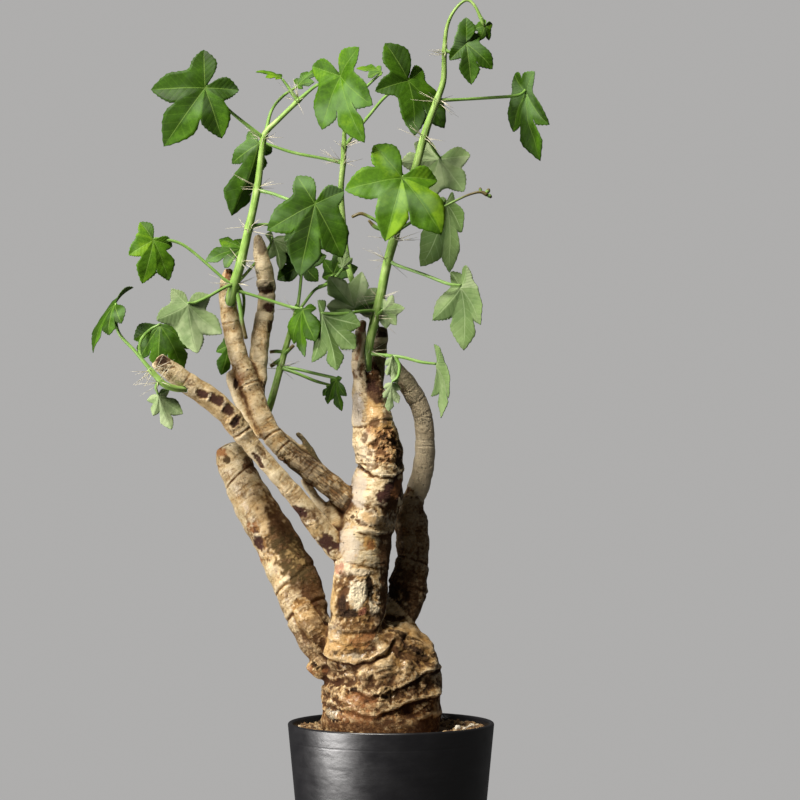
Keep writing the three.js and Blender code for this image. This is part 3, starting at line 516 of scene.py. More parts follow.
# Dark creases right round each limb: the pixel where one crosses the limb's middle, its depth in millimetres,
# its half width in pixels and its slope
CREASES = {
    "front_trunk": [
        (366, 566, 0.5, 0.8, 0.1),
        (366, 424, 0.6, 0.8, 0.0),
    ],
    "left_trunk": [
        (241, 477, 0.7, 0.8, -0.3),
        (288, 586, 0.9, 1.1, -0.3),
        (303, 612, 1.2, 1.3, -0.2),
    ],
    "rear_trunk": [
        (411, 497, 1.4, 1.2, -0.1),
        (411, 560, 0.8, 1.1, 0.1),
        (410, 590, 0.9, 1.2, 0.1),
    ],
    "curved_branch": [
        (415, 494, 0.8, 0.9, 0.2),
        (408, 404, 0.3, 0.7, 0.0),
    ],
    "low_branch": [
        (237, 434, 0.6, 1.0, 0.0),
        (186, 378, 0.3, 0.7, 0.0),
    ],
    "upper_branch": [
        (266, 439, 0.6, 0.9, 0.0),
        (281, 452, 0.5, 0.8, 0.0),
        (243, 386, 0.3, 0.8, 0.0),
        (233, 322, 0.3, 0.7, 0.0),
    ],
    "second_branch": [
        (266, 292, 0.9, 1.2, 0.0),
        (268, 312, 0.6, 1.0, 0.0),
    ],
}

# The colours of the marks on the bark, and those whose marks are smooth
PURPLE = (0.050, 0.018, 0.013)
BLACK = (0.020, 0.009, 0.004)
UMBER = (0.085, 0.036, 0.012)
RUST = (0.34, 0.135, 0.042)
SALMON = (0.42, 0.15, 0.085)
OCHRE = (0.50, 0.33, 0.13)
CREAM = (0.74, 0.61, 0.40)
FRESH_WOOD = (0.98, 0.84, 0.57)
PALE_GREY = (0.50, 0.43, 0.34)
OLIVE = (0.050, 0.038, 0.012)
GOLD = (0.56, 0.31, 0.085)
# A pale cream painted as light on the curved branch, where it lies in shadow
PAINTED_LIGHT = (0.86, 0.72, 0.49)
SMOOTH_MARKS = (FRESH_WOOD, PALE_GREY, PURPLE)

# Marks on each limb's bark, later ones over earlier ones: pixel, half width, half height, lean in degrees,
# colour, strength, dip, and how broken up the mark is, from 0 for a whole patch to 1 for none of it
# Some of these marks are painted shade, and the curved branch's pale one is painted light; each is noted at
# its row
MARKS = {
    "front_stub": [
        (360, 348, 4, 26, 8, CREAM, 0.7, -0.3, 0.2),
        (358, 348, 3, 18, 8, RUST, 0.8, 0.3, 0.3),
        (364, 322, 9, 9, 0, UMBER, 0.95, 0.8, 0.2),
        (358, 372, 9, 9, 40, UMBER, 0.9, 0.5, 0.3),
        (354, 364, 5, 5, 0, CREAM, 0.8, -0.5, 0.2),
        (357, 396, 6, 20, 0, CREAM, 0.6, 0.0, 0.0),
    ],
    "back_stub": [
        (381, 362, 12, 26, 0, OLIVE, 0.75, 0.0, 0.0),
        (382, 331, 9, 8, 0, BLACK, 0.9, 0.8, 0.15),
        (381, 340, 8, 3, 0, CREAM, 0.8, -0.4, 0.0),
    ],
    "front_trunk": [
        (374, 408, 8, 32, 0, GOLD, 0.6, 0.0, 0.0),
        (357, 408, 6, 16, 0, PALE_GREY, 0.75, 0.0, 0.0),
        (366, 361, 11, 8, 20, UMBER, 0.95, 0.9, 0.12),
        (373, 372, 12, 9, 0, UMBER, 0.95, 1.2, 0.12),
        (368, 374, 6, 5, 30, RUST, 0.7, 0.0, 0.3),
        (362, 368, 9, 6, 35, PURPLE, 0.9, 0.5, 0.2),
        (376, 384, 9, 9, 30, UMBER, 0.9, 0.4, 0.1),
        (374, 392, 8, 12, -25, PURPLE, 0.85, 0.1, 0.1),
        (374, 424, 6, 7, 30, PURPLE, 0.75, 0.3, 0.1),
        (369, 430, 4, 5, 30, RUST, 0.7, 0.1, 0.1),
        (386, 422, 4, 14, 0, UMBER, 0.8, 0.1, 0.1),
        (372, 448, 20, 17, 0, CREAM, 0.5, -0.4, 0.0),
        (386, 444, 18, 20, 0, GOLD, 0.65, 0.0, 0.0),
        (388, 446, 15, 18, 0, RUST, 0.7, 0.3, 0.35),
        (388, 446, 14, 17, 0, UMBER, 0.85, 0.8, 0.5),
        (389, 442, 11, 9, 0, BLACK, 0.75, 0.6, 0.6),
        (377, 443, 6, 5, 0, UMBER, 0.8, 0.5, 0.3),
        (364, 438, 4, 5, 0, UMBER, 0.8, 0.5, 0.2),
        # Painted shade on the trunk's right side
        (402, 452, 6, 17, 0, BLACK, 0.85, 0.5, 0.15),
        (377, 455, 12, 4, 20, UMBER, 0.8, 0.4, 0.4),
        (384, 470, 17, 5, 12, UMBER, 0.7, 0.3, 0.5),
        (358, 490, 8, 20, 0, PALE_GREY, 0.75, 0.0, 0.0),
        (393, 493, 18, 12, -38, PURPLE, 0.98, 0.4, 0.0),
        (398, 490, 5, 13, 30, RUST, 0.6, 0.1, 0.1),
        (392, 512, 10, 14, 0, UMBER, 0.9, 0.3, 0.15),
        (369, 518, 11, 8, 10, CREAM, 0.7, -0.6, 0.1),
        (370, 519, 8, 6, 10, GOLD, 0.6, 0.2, 0.35),
        (362, 523, 7, 2.4, 25, UMBER, 0.7, 0.5, 0.2),
        (374, 512, 5, 2.2, 0, UMBER, 0.6, 0.4, 0.3),
        (392, 520, 8, 8, 0, CREAM, 0.7, -0.5, 0.55),
        (352, 517, 3, 2, 0, BLACK, 0.8, 0.4, 0.0),
        (350, 545, 10, 20, 0, PALE_GREY, 0.65, 0.0, 0.0),
        (370, 543, 6, 8, 0, GOLD, 0.8, 0.2, 0.1),
        (371, 545, 4, 6, 0, RUST, 0.8, 0.2, 0.3),
        # Painted shade on the trunk's right side
        (391, 558, 12, 28, 0, UMBER, 0.9, 0.1, 0.1),
        (356, 596, 24, 32, 0, GOLD, 0.55, 0.0, 0.0),
        (357, 598, 23, 30, 0, UMBER, 0.75, 0.3, 0.4),
        (342, 570, 8, 9, 0, CREAM, 0.8, -0.6, 0.1),
        (340, 569, 5, 6, 0, SALMON, 0.75, 0.2, 0.25),
        (345, 575, 5, 4, 0, UMBER, 0.8, 0.5, 0.2),
        (360, 572, 14, 4, 5, CREAM, 0.8, -0.5, 0.15),
        (334, 600, 4, 24, 0, OCHRE, 0.6, -0.3, 0.3),
        (350, 586, 16, 12, 0, UMBER, 0.8, 0.3, 0.2),
        (343, 603, 6.5, 17, 0, UMBER, 0.98, 1.0, 0.0),
        (342, 607, 4, 12, 0, BLACK, 0.9, 0.6, 0.0),
        (371, 588, 4, 15, -8, BLACK, 0.95, 0.8, 0.0),
        (358, 594, 10, 15, -4, FRESH_WOOD, 1.0, -0.5, 0.0),
        (352, 579, 2.5, 2, 0, UMBER, 0.8, 0.3, 0.0),
        (352, 614, 12, 4, -8, BLACK, 0.95, 0.8, 0.15),
        (363, 611, 5, 3.5, -20, SALMON, 0.75, -0.7, 0.0),
        (376, 604, 6, 13, 0, FRESH_WOOD, 0.85, -0.7, 0.45),
        # Painted shade on the trunk's right side
        (387, 598, 8, 32, 0, UMBER, 0.9, 0.2, 0.1),
        (329, 617, 4, 6, 0, BLACK, 0.7, 0.3, 0.3),
        (360, 640, 36, 20, 0, GOLD, 0.45, 0.0, 0.0),
        (356, 628, 30, 9, 0, UMBER, 0.8, 0.3, 0.3),
        (380, 630, 12, 24, 0, UMBER, 0.75, 0.0, 0.2),
        (335, 638, 8, 16, 0, CREAM, 0.3, 0.0, 0.2),
        (346, 648, 26, 14, 0, GOLD, 0.45, 0.0, 0.0),
        (364, 641, 16, 8, 0, RUST, 0.7, 0.0, 0.25),
        # Painted shadow under the trunk's overhanging collar
        (358, 653, 26, 4, 0, BLACK, 0.85, 0.5, 0.35),
        (350, 657, 12, 3, 0, CREAM, 0.45, -0.3, 0.3),
    ],
    "low_branch": [
        (216, 403, 25, 12, 33, OCHRE, 0.5, 0.0, 0.1),
        (203, 394, 8, 5, 25, PURPLE, 0.97, 0.5, 0.05),
        (217, 400, 9, 6.5, 30, PURPLE, 0.97, 0.5, 0.1),
        (229, 411, 8, 6, 40, PURPLE, 0.95, 0.5, 0.1),
        (236, 421, 7.8, 9, 30, OCHRE, 0.6, -0.6, 0.1),
        (236, 421, 5.6, 7.4, 30, PURPLE, 1.0, 0.5, 0.0),
        (235, 422, 3.8, 5.2, 30, BLACK, 0.9, 0.3, 0.0),
        (209, 397, 1.3, 6, 25, CREAM, 0.6, -0.4, 0.1),
        (224, 405, 1.3, 6, 25, CREAM, 0.6, -0.4, 0.1),
        (239, 449, 4, 3, 0, BLACK, 0.9, 0.9, 0.1),
        (258, 460, 2.6, 9, -35, PURPLE, 0.9, 0.8, 0.1),
        (262, 452, 3, 9, -40, UMBER, 0.6, 0.2, 0.3),
        (304, 516, 15, 8, 35, UMBER, 0.8, 0.0, 0.25),
        (300, 513, 9, 6, 20, PURPLE, 0.95, 0.4, 0.1),
        (312, 524, 6, 4, 40, CREAM, 0.8, -0.4, 0.3),
        (327, 542, 14, 8, 40, PURPLE, 0.95, 0.4, 0.2),
        (316, 530, 8, 6, 40, OCHRE, 0.7, -0.2, 0.2),
        (157, 355, 4, 5, 0, RUST, 0.8, 0.2, 0.1),
        (190, 382, 5, 4, 25, UMBER, 0.6, 0.1, 0.4),
        (280, 500, 5, 16, -40, UMBER, 0.5, 0.0, 0.5),
        (162, 360, 11, 10, 30, UMBER, 0.8, 0.6, 0.15),
        (161, 358, 7, 6, 30, BLACK, 0.9, 0.5, 0.0),
    ],
    "left_trunk": [
        (256, 534, 10, 30, -18, UMBER, 0.5, 0.1, 0.55),
        (252, 527, 6, 6, 10, RUST, 0.7, 0.3, 0.35),
        (256, 531, 4, 4, 10, PURPLE, 0.85, 0.5, 0.2),
        (257, 536, 4, 3, 10, CREAM, 0.8, -0.5, 0.1),
        (259, 543, 6, 9, -15, PURPLE, 0.97, 0.7, 0.1),
        (256, 560, 5, 8, -10, RUST, 0.85, 0.3, 0.2),
        (258, 572, 4, 6, -10, UMBER, 0.8, 0.4, 0.3),
        (284, 540, 20, 66, -27, GOLD, 0.35, 0.0, 0.0),
        # Painted shade down the left trunk's right side, partly brown dirt, in this and the next mark
        (300, 560, 22, 66, -27, UMBER, 0.85, 0.0, 0.0),
        (292, 558, 16, 34, -28, OLIVE, 0.75, 0.3, 0.25),
        (296, 556, 9, 14, -28, OCHRE, 0.6, -0.4, 0.55),
        # Painted shade along the right side, partly brown dirt
        (272, 510, 6, 30, -25, UMBER, 0.6, 0.0, 0.35),
        (250, 464, 10, 9, 0, UMBER, 0.9, 0.1, 0.2),
        (252, 492, 10, 12, 0, UMBER, 0.5, 0.0, 0.5),
        (224, 457, 9, 8, 0, OCHRE, 0.55, -0.6, 0.1),
        (222, 452, 5, 5, 0, RUST, 0.85, 0.2, 0.2),
        (226, 460, 4, 4, 0, BLACK, 0.85, 0.9, 0.2),
        (310, 602, 8, 20, -20, UMBER, 0.8, 0.1, 0.3),
        (303, 640, 10, 14, -20, UMBER, 0.6, 0.1, 0.4),
    ],
    "rear_stub": [
        (307, 448, 14, 22, -38, OLIVE, 0.92, 0.0, 0.0),
    ],
    "thin_rear_twig": [
        (292, 442, 26, 12, 40, OLIVE, 0.45, 0.0, 0.0),
        (300, 452, 20, 4, 40, OLIVE, 0.8, 0.2, 0.2),
    ],
    "left_foot": [
        (308, 618, 20, 32, -28, GOLD, 0.35, 0.0, 0.0),
        (313, 630, 16, 18, -28, UMBER, 0.6, 0.3, 0.35),
        (320, 644, 10, 9, 0, UMBER, 0.85, 0.3, 0.2),
        (303, 606, 8, 8, 0, UMBER, 0.6, 0.4, 0.45),
    ],
    "upper_branch": [
        (233, 269, 8, 6, 0, UMBER, 0.9, 0.6, 0.1),
        (229, 273, 5, 6, 0, PURPLE, 0.85, 0.6, 0.2),
        (226, 270, 6, 8, 0, RUST, 0.5, 0.0, 0.2),
        (239, 378, 6, 7, 0, RUST, 0.45, 0.0, 0.3),
        (268, 437, 8, 4, 20, UMBER, 0.7, 0.1, 0.4),
        (281, 461, 4, 4, 0, RUST, 0.7, -0.6, 0.1),
        (282, 462, 1.6, 1.6, 0, BLACK, 0.9, 0.6, 0.0),
    ],
    "side_stub": [
        (236, 384, 2.5, 5, 0, BLACK, 0.9, 0.7, 0.0),
        (246, 402, 4, 18, -25, UMBER, 0.5, 0.0, 0.5),
    ],
    "second_branch": [
        (266, 289, 8, 6, 0, BLACK, 0.8, 0.7, 0.2),
        (262, 283, 9, 4, 0, CREAM, 0.7, -0.6, 0.2),
        (270, 307, 7, 4, 0, PURPLE, 0.95, 0.4, 0.1),
        (272, 327, 4, 8, 0, PURPLE, 0.8, 0.4, 0.2),
        (262, 244, 6, 10, 0, UMBER, 0.6, 0.1, 0.3),
        (262, 388, 6, 6, 0, BLACK, 0.85, 0.2, 0.1),
    ],
    "curved_branch": [
        # Painted light over the whole curved branch, which lies in shadow
        (415, 440, 50, 90, 0, PAINTED_LIGHT, 0.45, 0.0, 0.0),
        (405, 408, 3, 3, 0, BLACK, 0.6, -0.5, 0.0),
        (398, 388, 9, 6, 10, SALMON, 0.35, 0.0, 0.3),
    ],
    "rear_trunk": [
        # Painted shade: the rear trunk lies in the front trunk's shadow, and these dark marks cover it
        (412, 545, 26, 62, 0, UMBER, 0.6, 0.0, 0.0),
        (404, 600, 24, 32, 0, UMBER, 0.75, 0.0, 0.1),
        (394, 560, 10, 66, 0, BLACK, 0.6, 0.0, 0.2),
        (396, 604, 15, 20, 0, BLACK, 0.8, 0.2, 0.3),
    ],
    "base": [
        (314, 668, 9, 12, 0, RUST, 0.8, 0.0, 0.2),
        (355, 690, 3.6, 3.4, 0, BLACK, 0.9, 1.2, 0.0),
        (342, 670, 5, 4.5, 0, UMBER, 0.9, 0.6, 0.2),
        (334, 664, 6, 6, 0, BLACK, 0.85, 0.6, 0.4),
        (386, 694, 9, 7, 0, OCHRE, 0.8, -0.8, 0.2),
        (387, 694, 7, 6, 0, BLACK, 0.95, 1.4, 0.45),
        (330, 697, 11, 18, 0, UMBER, 0.85, 0.3, 0.5),
        (336, 715, 10, 7, 0, BLACK, 0.9, 0.8, 0.5),
        (334, 714, 8, 5, 0, FRESH_WOOD, 0.85, -0.5, 0.6),
        (362, 700, 17, 8, 0, RUST, 0.65, 0.0, 0.3),
        (372, 682, 26, 9, -8, UMBER, 0.75, 0.2, 0.55),
        # Painted shade in the dark band below a fold
        (404, 694, 22, 7, -25, UMBER, 0.8, 0.3, 0.35),
        (410, 646, 30, 20, 30, GOLD, 0.5, 0.0, 0.0),
        (408, 648, 26, 12, 30, UMBER, 0.85, 0.1, 0.32),
        # Painted shade in the creases of the folds, with a real dip, in this and the next two marks
        (410, 667, 14, 4, -25, BLACK, 0.6, 0.2, 0.5),
        (404, 634, 17, 3, 20, BLACK, 0.75, 0.6, 0.25),
        (416, 648, 17, 3, 32, BLACK, 0.8, 0.6, 0.25),
        (401, 652, 11, 5, 40, UMBER, 0.9, 0.6, 0.2),
        # Painted shade in a crease
        (428, 664, 9, 3, 30, UMBER, 0.8, 0.4, 0.3),
        # Painted shadow under the trunk's overhanging collar
        (350, 668, 22, 5, 0, UMBER, 0.6, 0.1, 0.4),
        (396, 728, 50, 10, 0, UMBER, 0.75, 0.0, 0.35),
        (360, 716, 22, 7, 0, RUST, 0.6, 0.0, 0.35),
    ],
    "base_knob": [
        (312, 667, 10, 11, 0, OCHRE, 0.8, 0.0, 0.1),
        (313, 670, 6, 7, 0, RUST, 0.8, 0.3, 0.3),
        (316, 664, 5, 6, 0, BLACK, 0.95, 1.0, 0.2),
    ],
}


def smoothstep(low, high, value):
    """0 below low, 1 above high, and a smooth climb between them"""
    share = np.clip((value - low) / (high - low), 0, 1)
    return share * share * (3 - 2 * share)


def seen(x, z, depth):
    """The place in millimetres that the viewer sees at x, z"""
    spread = 1 - depth / EYE[1]
    return np.array([EYE[0] + (x - EYE[0]) * spread, depth, EYE[2] + (z - EYE[2]) * spread])


def pixels_of(places):
    """Where the viewer sees places, in the photograph's pixels"""
    spread = 1 - places[:, 1] / EYE[1]
    across = EYE[0] + (places[:, 0] - EYE[0]) / spread
    up = EYE[2] + (places[:, 2] - EYE[2]) / spread
    return AXIS_COLUMN + across / PIXEL, (PHOTO_TOP - up) / PIXEL


def field(places, size, shift=0.0):
    """Smooth noise from -1 to 1 at each place, with lumps of about the size given"""
    steps = places / size + shift
    return np.array([noise.noise(Vector(step)) for step in steps])


def smooth_path(points, rings, level_ends=False):
    """Places at even steps on a smooth curve through the points"""
    points = np.asarray(points, float)
    before = points[0] if level_ends else 2 * points[0] - points[1]
    after = points[-1] if level_ends else 2 * points[-1] - points[-2]
    knots = np.concatenate([[before], points, [after]])
    steps = np.linspace(0, len(points) - 1, rings + 1)
    first = np.minimum(steps.astype(int), len(points) - 2)
    share = (steps - first).reshape((-1,) + (1,) * (points.ndim - 1))
    a, b, c, d = (knots[first + k] for k in range(4))
    bend = (c - a) * share + (2 * a - 5 * b + 4 * c - d) * share**2 + (3 * b - a - 3 * c + d) * share**3
    return b + bend / 2


def spine(stations, rings, grow=0.0):
    """The middle line of a limb or stem, with frames that turn as little as they can"""
    at = smooth_path([seen(x, z, depth) for x, z, depth, _ in stations], rings)
    radius = smooth_path([row[3] + grow for row in stations], rings, level_ends=True)
    along = np.gradient(at, axis=0)
    along /= np.linalg.norm(along, axis=1)[:, None]
    across = np.zeros_like(at)
    last = np.array([1.0, 0.0, 0.0])
    for i, way in enumerate(along):
        last = last - way * last.dot(way)
        last /= np.linalg.norm(last)
        across[i] = last
    steps = np.linalg.norm(np.diff(at, axis=0), axis=1)
    length = np.concatenate([[0], np.cumsum(steps)])
    return {
        "at": at,
        "radius": radius,
        "along": along,
        "across": across,
        "side": np.cross(across, along),
        "length": length,
    }


class Body:
    """Corners, faces and what each corner carries, gathered piece by piece and then made one mesh"""

    def __init__(self):
        self.corners = []
        self.faces = []
        self.count = 0
        self.carried = {}
        self.by_face = {}

    def add(self, corners, faces, carried=None, by_face=None):
        """Adds corners in millimetres, faces, values for each corner, and values for each face's corners"""
        self.corners.append(np.asarray(corners, float))
        self.faces.extend([[i + self.count for i in face] for face in faces])
        self.count += len(corners)
        for name, values in (carried or {}).items():
            self.carried.setdefault(name, []).append(values)
        for name, values in (by_face or {}).items():
            self.by_face.setdefault(name, []).append(values)

    def made(self, name):
        """The object, in metres, with its values as attributes"""
        mesh = bpy.data.meshes.new(name)
        mesh.from_pydata((np.concatenate(self.corners) * MM).tolist(), [], self.faces)
        for domain, table in (("POINT", self.carried), ("CORNER", self.by_face)):
            for label, parts in table.items():
                carry(mesh, label, np.concatenate(parts), domain)
        mesh.validate()
        mesh.polygons.foreach_set("use_smooth", [True] * len(mesh.polygons))
        piece = bpy.data.objects.new(name, mesh)
        bpy.context.collection.objects.link(piece)
        return piece


def carry(mesh, label, values, domain="POINT"):
    """Stores numbers, places or colours on a mesh for its finish to read"""
    values = np.asarray(values, np.float32)
    width = 1 if values.ndim == 1 else values.shape[1]
    kind = {1: "FLOAT", 3: "FLOAT_VECTOR", 4: "FLOAT_COLOR"}[width]
    slot = {1: "value", 3: "vector", 4: "color"}[width]
    mesh.attributes.new(label, kind, domain).data.foreach_set(slot, values.ravel())


def ring_faces(rings, sides):
    """Faces of a tube whose corners run ring by ring, then its two poles"""
    faces = []
    for i in range(rings):
        for j in range(sides):
            k = (j + 1) % sides
            faces.append([i * sides + j, (i + 1) * sides + j, (i + 1) * sides + k, i * sides + k])
    first, last = (rings + 1) * sides, (rings + 1) * sides + 1
    for j in range(sides):
        k = (j + 1) % sides
        faces.append([j, k, first])
        faces.append([rings * sides + j, last, rings * sides + k])
    return faces


def rod(stations, sides, rings, grow=0.0, swell=None):
    """Corners and faces of a closed round rod along a smooth path, with its bark coordinates"""
    line = spine(stations, rings, grow)
    radius = line["radius"] + (0 if swell is None else swell(line))
    turns = np.arange(sides) * 2 * math.pi / sides
    out = (np.cos(turns)[None, :, None] * line["across"][:, None]
           + np.sin(turns)[None, :, None] * line["side"][:, None])
    shell = line["at"][:, None] + radius[:, None, None] * out
    poles = np.array([
        line["at"][0] - line["along"][0] * (END_DOME * stations[0][3] + grow),
        line["at"][-1] + line["along"][-1] * (END_DOME * stations[-1][3] + grow),
    ])
    straight = np.stack([
        radius[:, None] * np.cos(turns),
        radius[:, None] * np.sin(turns),
        np.repeat(line["length"][:, None], sides, axis=1),
    ], axis=2).reshape(-1, 3)
    ends = np.array([[0, 0, line["length"][0]], [0, 0, line["length"][-1]]])
    corners = np.concatenate([shell.reshape(-1, 3), poles])
    return corners, ring_faces(rings, sides), np.concatenate([straight, ends])


def alone(piece):
    """Makes a piece the only one selected and the active one"""
    bpy.ops.object.select_all(action="DESELECT")
    piece.select_set(True)
    bpy.context.view_layer.objects.active = piece


def editing(piece):
    """Starts editing a piece with nothing selected"""
    alone(piece)
    bpy.ops.object.mode_set(mode="EDIT")
    bpy.ops.mesh.select_all(action="DESELECT")


def select_where(test, mode="VERT"):
    """Selects the corners, edges or faces of the mesh being edited whose middle passes the test"""
    bpy.ops.mesh.select_mode(type=mode)
    bpy.ops.mesh.select_all(action="DESELECT")
    shape = bmesh.from_edit_mesh(bpy.context.object.data)
    items = {"VERT": shape.verts, "EDGE": shape.edges, "FACE": shape.faces}[mode]
    for item in items:
        spots = [item.co] if mode == "VERT" else [corner.co for corner in item.verts]
        if all(test(spot / MM) for spot in spots):
            item.select_set(True)
    shape.select_flush_mode()
    bmesh.update_edit_mesh(bpy.context.object.data)


def modified(piece, kind, **settings):
    """Adds a modifier and applies it"""
    alone(piece)
    modifier = piece.modifiers.new(kind.lower(), kind)
    for name, value in settings.items():
        setattr(modifier, name, value)
    bpy.ops.object.modifier_apply(modifier=modifier.name)
    return piece


def settled(piece, name):
    """A named piece whose object lies at the origin, unturned and unscaled"""
    alone(piece)
    bpy.ops.object.transform_apply(location=True, rotation=True, scale=True)
    piece.name = name
    return piece


def cut_by(piece, cutter, solver="EXACT"):
    """Cuts another piece's shape out of this one"""
    modified(piece, "BOOLEAN", operation="DIFFERENCE", object=cutter, solver=solver)
    bpy.data.objects.remove(cutter)
    return piece


def outer_radius(height):
    """The pot's radius outside at a height"""
    return BASE_RADIUS + (RIM_RADIUS - BASE_RADIUS) * height / POT_HEIGHT


def inner_radius(height):
    """The pot's radius inside at a height"""
    return outer_radius(height) - WALL


def potter_shell():
    """The pot: a tapered round wall with a rounded rim, a flat floor and drain holes"""
    bpy.ops.mesh.primitive_cylinder_add(
        vertices=POT_SIDES, radius=BASE_RADIUS * MM, depth=POT_HEIGHT * MM,
        location=(0, 0, POT_HEIGHT * MM / 2))
    shell = settled(bpy.context.object, "pot_shell")
    editing(shell)
    select_where(lambda spot: spot.z > POT_HEIGHT - 1)
    widen(RIM_RADIUS / BASE_RADIUS, POT_HEIGHT)
    select_where(lambda spot: spot.z > POT_HEIGHT - 1, "FACE")
    bpy.ops.mesh.inset(thickness=WALL * MM)
    drop = (0, 0, (POT_FLOOR - POT_HEIGHT) * MM)
    bpy.ops.mesh.extrude_region_move(TRANSFORM_OT_translate={"value": drop})
    widen(inner_radius(POT_FLOOR) / inner_radius(POT_HEIGHT), POT_FLOOR)
    select_where(lambda spot: spot.z > POT_HEIGHT - 0.1, "EDGE")
    bpy.ops.mesh.select_mode(type="EDGE")
    drop_spokes()
    bpy.ops.mesh.bevel(offset=RIM_ROUND * MM, segments=4)
    select_where(lambda spot: spot.z < 0.1, "EDGE")
    bpy.ops.mesh.bevel(offset=FOOT_ROUND * MM, segments=3)
    select_where(lambda spot: abs(spot.z - POT_FLOOR) < 0.1, "EDGE")
    bpy.ops.mesh.bevel(offset=CORNER_ROUND * MM, segments=3)
    bpy.ops.object.mode_set(mode="OBJECT")
    for i in range(DRAIN_COUNT):
        angle = 2 * math.pi * (i + 0.5) / DRAIN_COUNT
        place = (DRAIN_CIRCLE * MM * math.cos(angle), DRAIN_CIRCLE * MM * math.sin(angle), 0)
        bpy.ops.mesh.primitive_cylinder_add(
            vertices=DRAIN_SIDES, radius=DRAIN_RADIUS * MM, depth=4 * POT_FLOOR * MM, location=place)
        shell = cut_by(shell, bpy.context.object)
    alone(shell)
    bpy.ops.object.shade_smooth_by_angle(angle=math.radians(SMOOTH_ANGLE))
    return shell


def widen(share, height):
    """Scales what is selected about the pot's axis"""
    bpy.ops.transform.resize(value=(share, share, 1), center_override=(0, 0, height * MM))


def drop_spokes():
    """Keeps only the selected edges that run round the rim"""
    shape = bmesh.from_edit_mesh(bpy.context.object.data)
    for edge in shape.edges:
        a, b = (corner.co.xy.length for corner in edge.verts)
        if abs(a - b) > 0.1 * MM:
            edge.select_set(False)
    bmesh.update_edit_mesh(bpy.context.object.data)


def stone_shapes():
    """Angular stones of unit size, each modelled once"""
    shapes = []
    for i in range(STONE_SHAPES):
        bpy.ops.mesh.primitive_ico_sphere_add(subdivisions=2, radius=1)
        stone = bpy.context.object
        for corner in stone.data.vertices:
            corner.co *= 1 + 0.32 * noise.noise(corner.co * 0.9 + Vector((7.3 * i, 1.7, 3.1)))
        modified(stone, "DECIMATE", ratio=0.55)
        corners = np.array([corner.co[:] for corner in stone.data.vertices])
        faces = [list(face.vertices) for face in stone.data.polygons]
        shapes.append((corners, faces))
        bpy.data.objects.remove(stone)
    return shapes


def turned_about(rng):
    """A random turn, as a matrix"""
    turn, _ = np.linalg.qr(rng.normal(size=(3, 3)))
    return turn if np.linalg.det(turn) > 0 else -turn


def gravel():
    """Packed soil with a hole for the wood's foot, and loose stones all over its top"""
    low = POT_FLOOR + GAP
    low_radius = inner_radius(low) - GAP
    high_radius = inner_radius(SOIL_LEVEL) - GAP
    bpy.ops.mesh.primitive_cylinder_add(
        vertices=SOIL_SIDES, radius=low_radius * MM, depth=(SOIL_LEVEL - low) * MM,
        location=(0, 0, (SOIL_LEVEL + low) * MM / 2))
    soil = settled(bpy.context.object, "gravel")
    editing(soil)
    select_where(lambda spot: spot.z > SOIL_LEVEL - 1)
    widen(high_radius / low_radius, SOIL_LEVEL)
    bpy.ops.object.mode_set(mode="OBJECT")
    foot = Body()
    foot.add(*rod(LIMBS["base"], 48, 28, grow=GAP)[:2])
    soil = cut_by(soil, foot.made("foot"))
    carry(soil.data, "hue", np.full(len(soil.data.vertices), SOIL_HUE))
    stones = Body()
    shapes = stone_shapes()
    rng = np.random.default_rng(STONE_SEED)
    places = []
    for ring in range(STONE_RINGS):
        distance = FIRST_RING + STONE_STEP * ring
        count = int(2 * math.pi * distance / STONE_STEP)
        for i in range(count):
            angle = 2 * math.pi * (i + rng.uniform(-0.3, 0.3)) / count
            size = STONE_SMALL + (STONE_LARGE - STONE_SMALL) * rng.random() ** 1.6
            reach = distance + rng.uniform(-0.8, 0.8)
            reach = min(max(reach, WOOD_EDGE + size), high_radius - size)
            spot = (reach * math.cos(angle), reach * math.sin(angle))
            places.append((*spot, size, rng.random()))
    places += [(x, y, size, PALE_HUE) for x, y, size in PALE_STONES]
    for x, y, size, hue in places:
        corners, faces = shapes[rng.integers(STONE_SHAPES)]
        squash = np.array([1, rng.uniform(0.75, 1), rng.uniform(0.6, 0.85)])
        lift = SOIL_LEVEL + size * rng.uniform(0.1, 0.45)
        turned = (corners * squash) @ turned_about(rng) * size
        stones.add(turned + (x, y, lift), faces, {"hue": np.full(len(corners), hue)})
    loose = stones.made("loose")
    loose.data.polygons.foreach_set("use_smooth", [False] * len(loose.data.polygons))
    alone(soil)
    loose.select_set(True)
    bpy.ops.object.join()
    return soil


def neighbours(mesh):
    """The two corners of each edge"""
    ends = np.empty(len(mesh.edges) * 2, int)
    mesh.edges.foreach_get("vertices", ends)
    return ends.reshape(-1, 2)


def evened(values, edges, rounds):
    """Values on a mesh's corners, averaged with their neighbours' a number of times"""
    a, b = edges.T
    count = np.bincount(a, minlength=len(values)) + np.bincount(b, minlength=len(values))
    for _ in range(rounds):
        total = np.stack([
            np.bincount(a, column[b], len(values)) + np.bincount(b, column[a], len(values))
            for column in values.T
        ], axis=1)
        values = (values + total) / (1 + count)[:, None]
    return values


def places_of(mesh):
    """The corners' places in millimetres"""
    spots = np.empty(len(mesh.vertices) * 3)
    mesh.vertices.foreach_get("co", spots)
    return spots.reshape(-1, 3) / MM


def normals_of(mesh):
    """The corners' normals"""
    ways = np.empty(len(mesh.vertices) * 3)
    mesh.vertices.foreach_get("normal", ways)
    return ways.reshape(-1, 3)


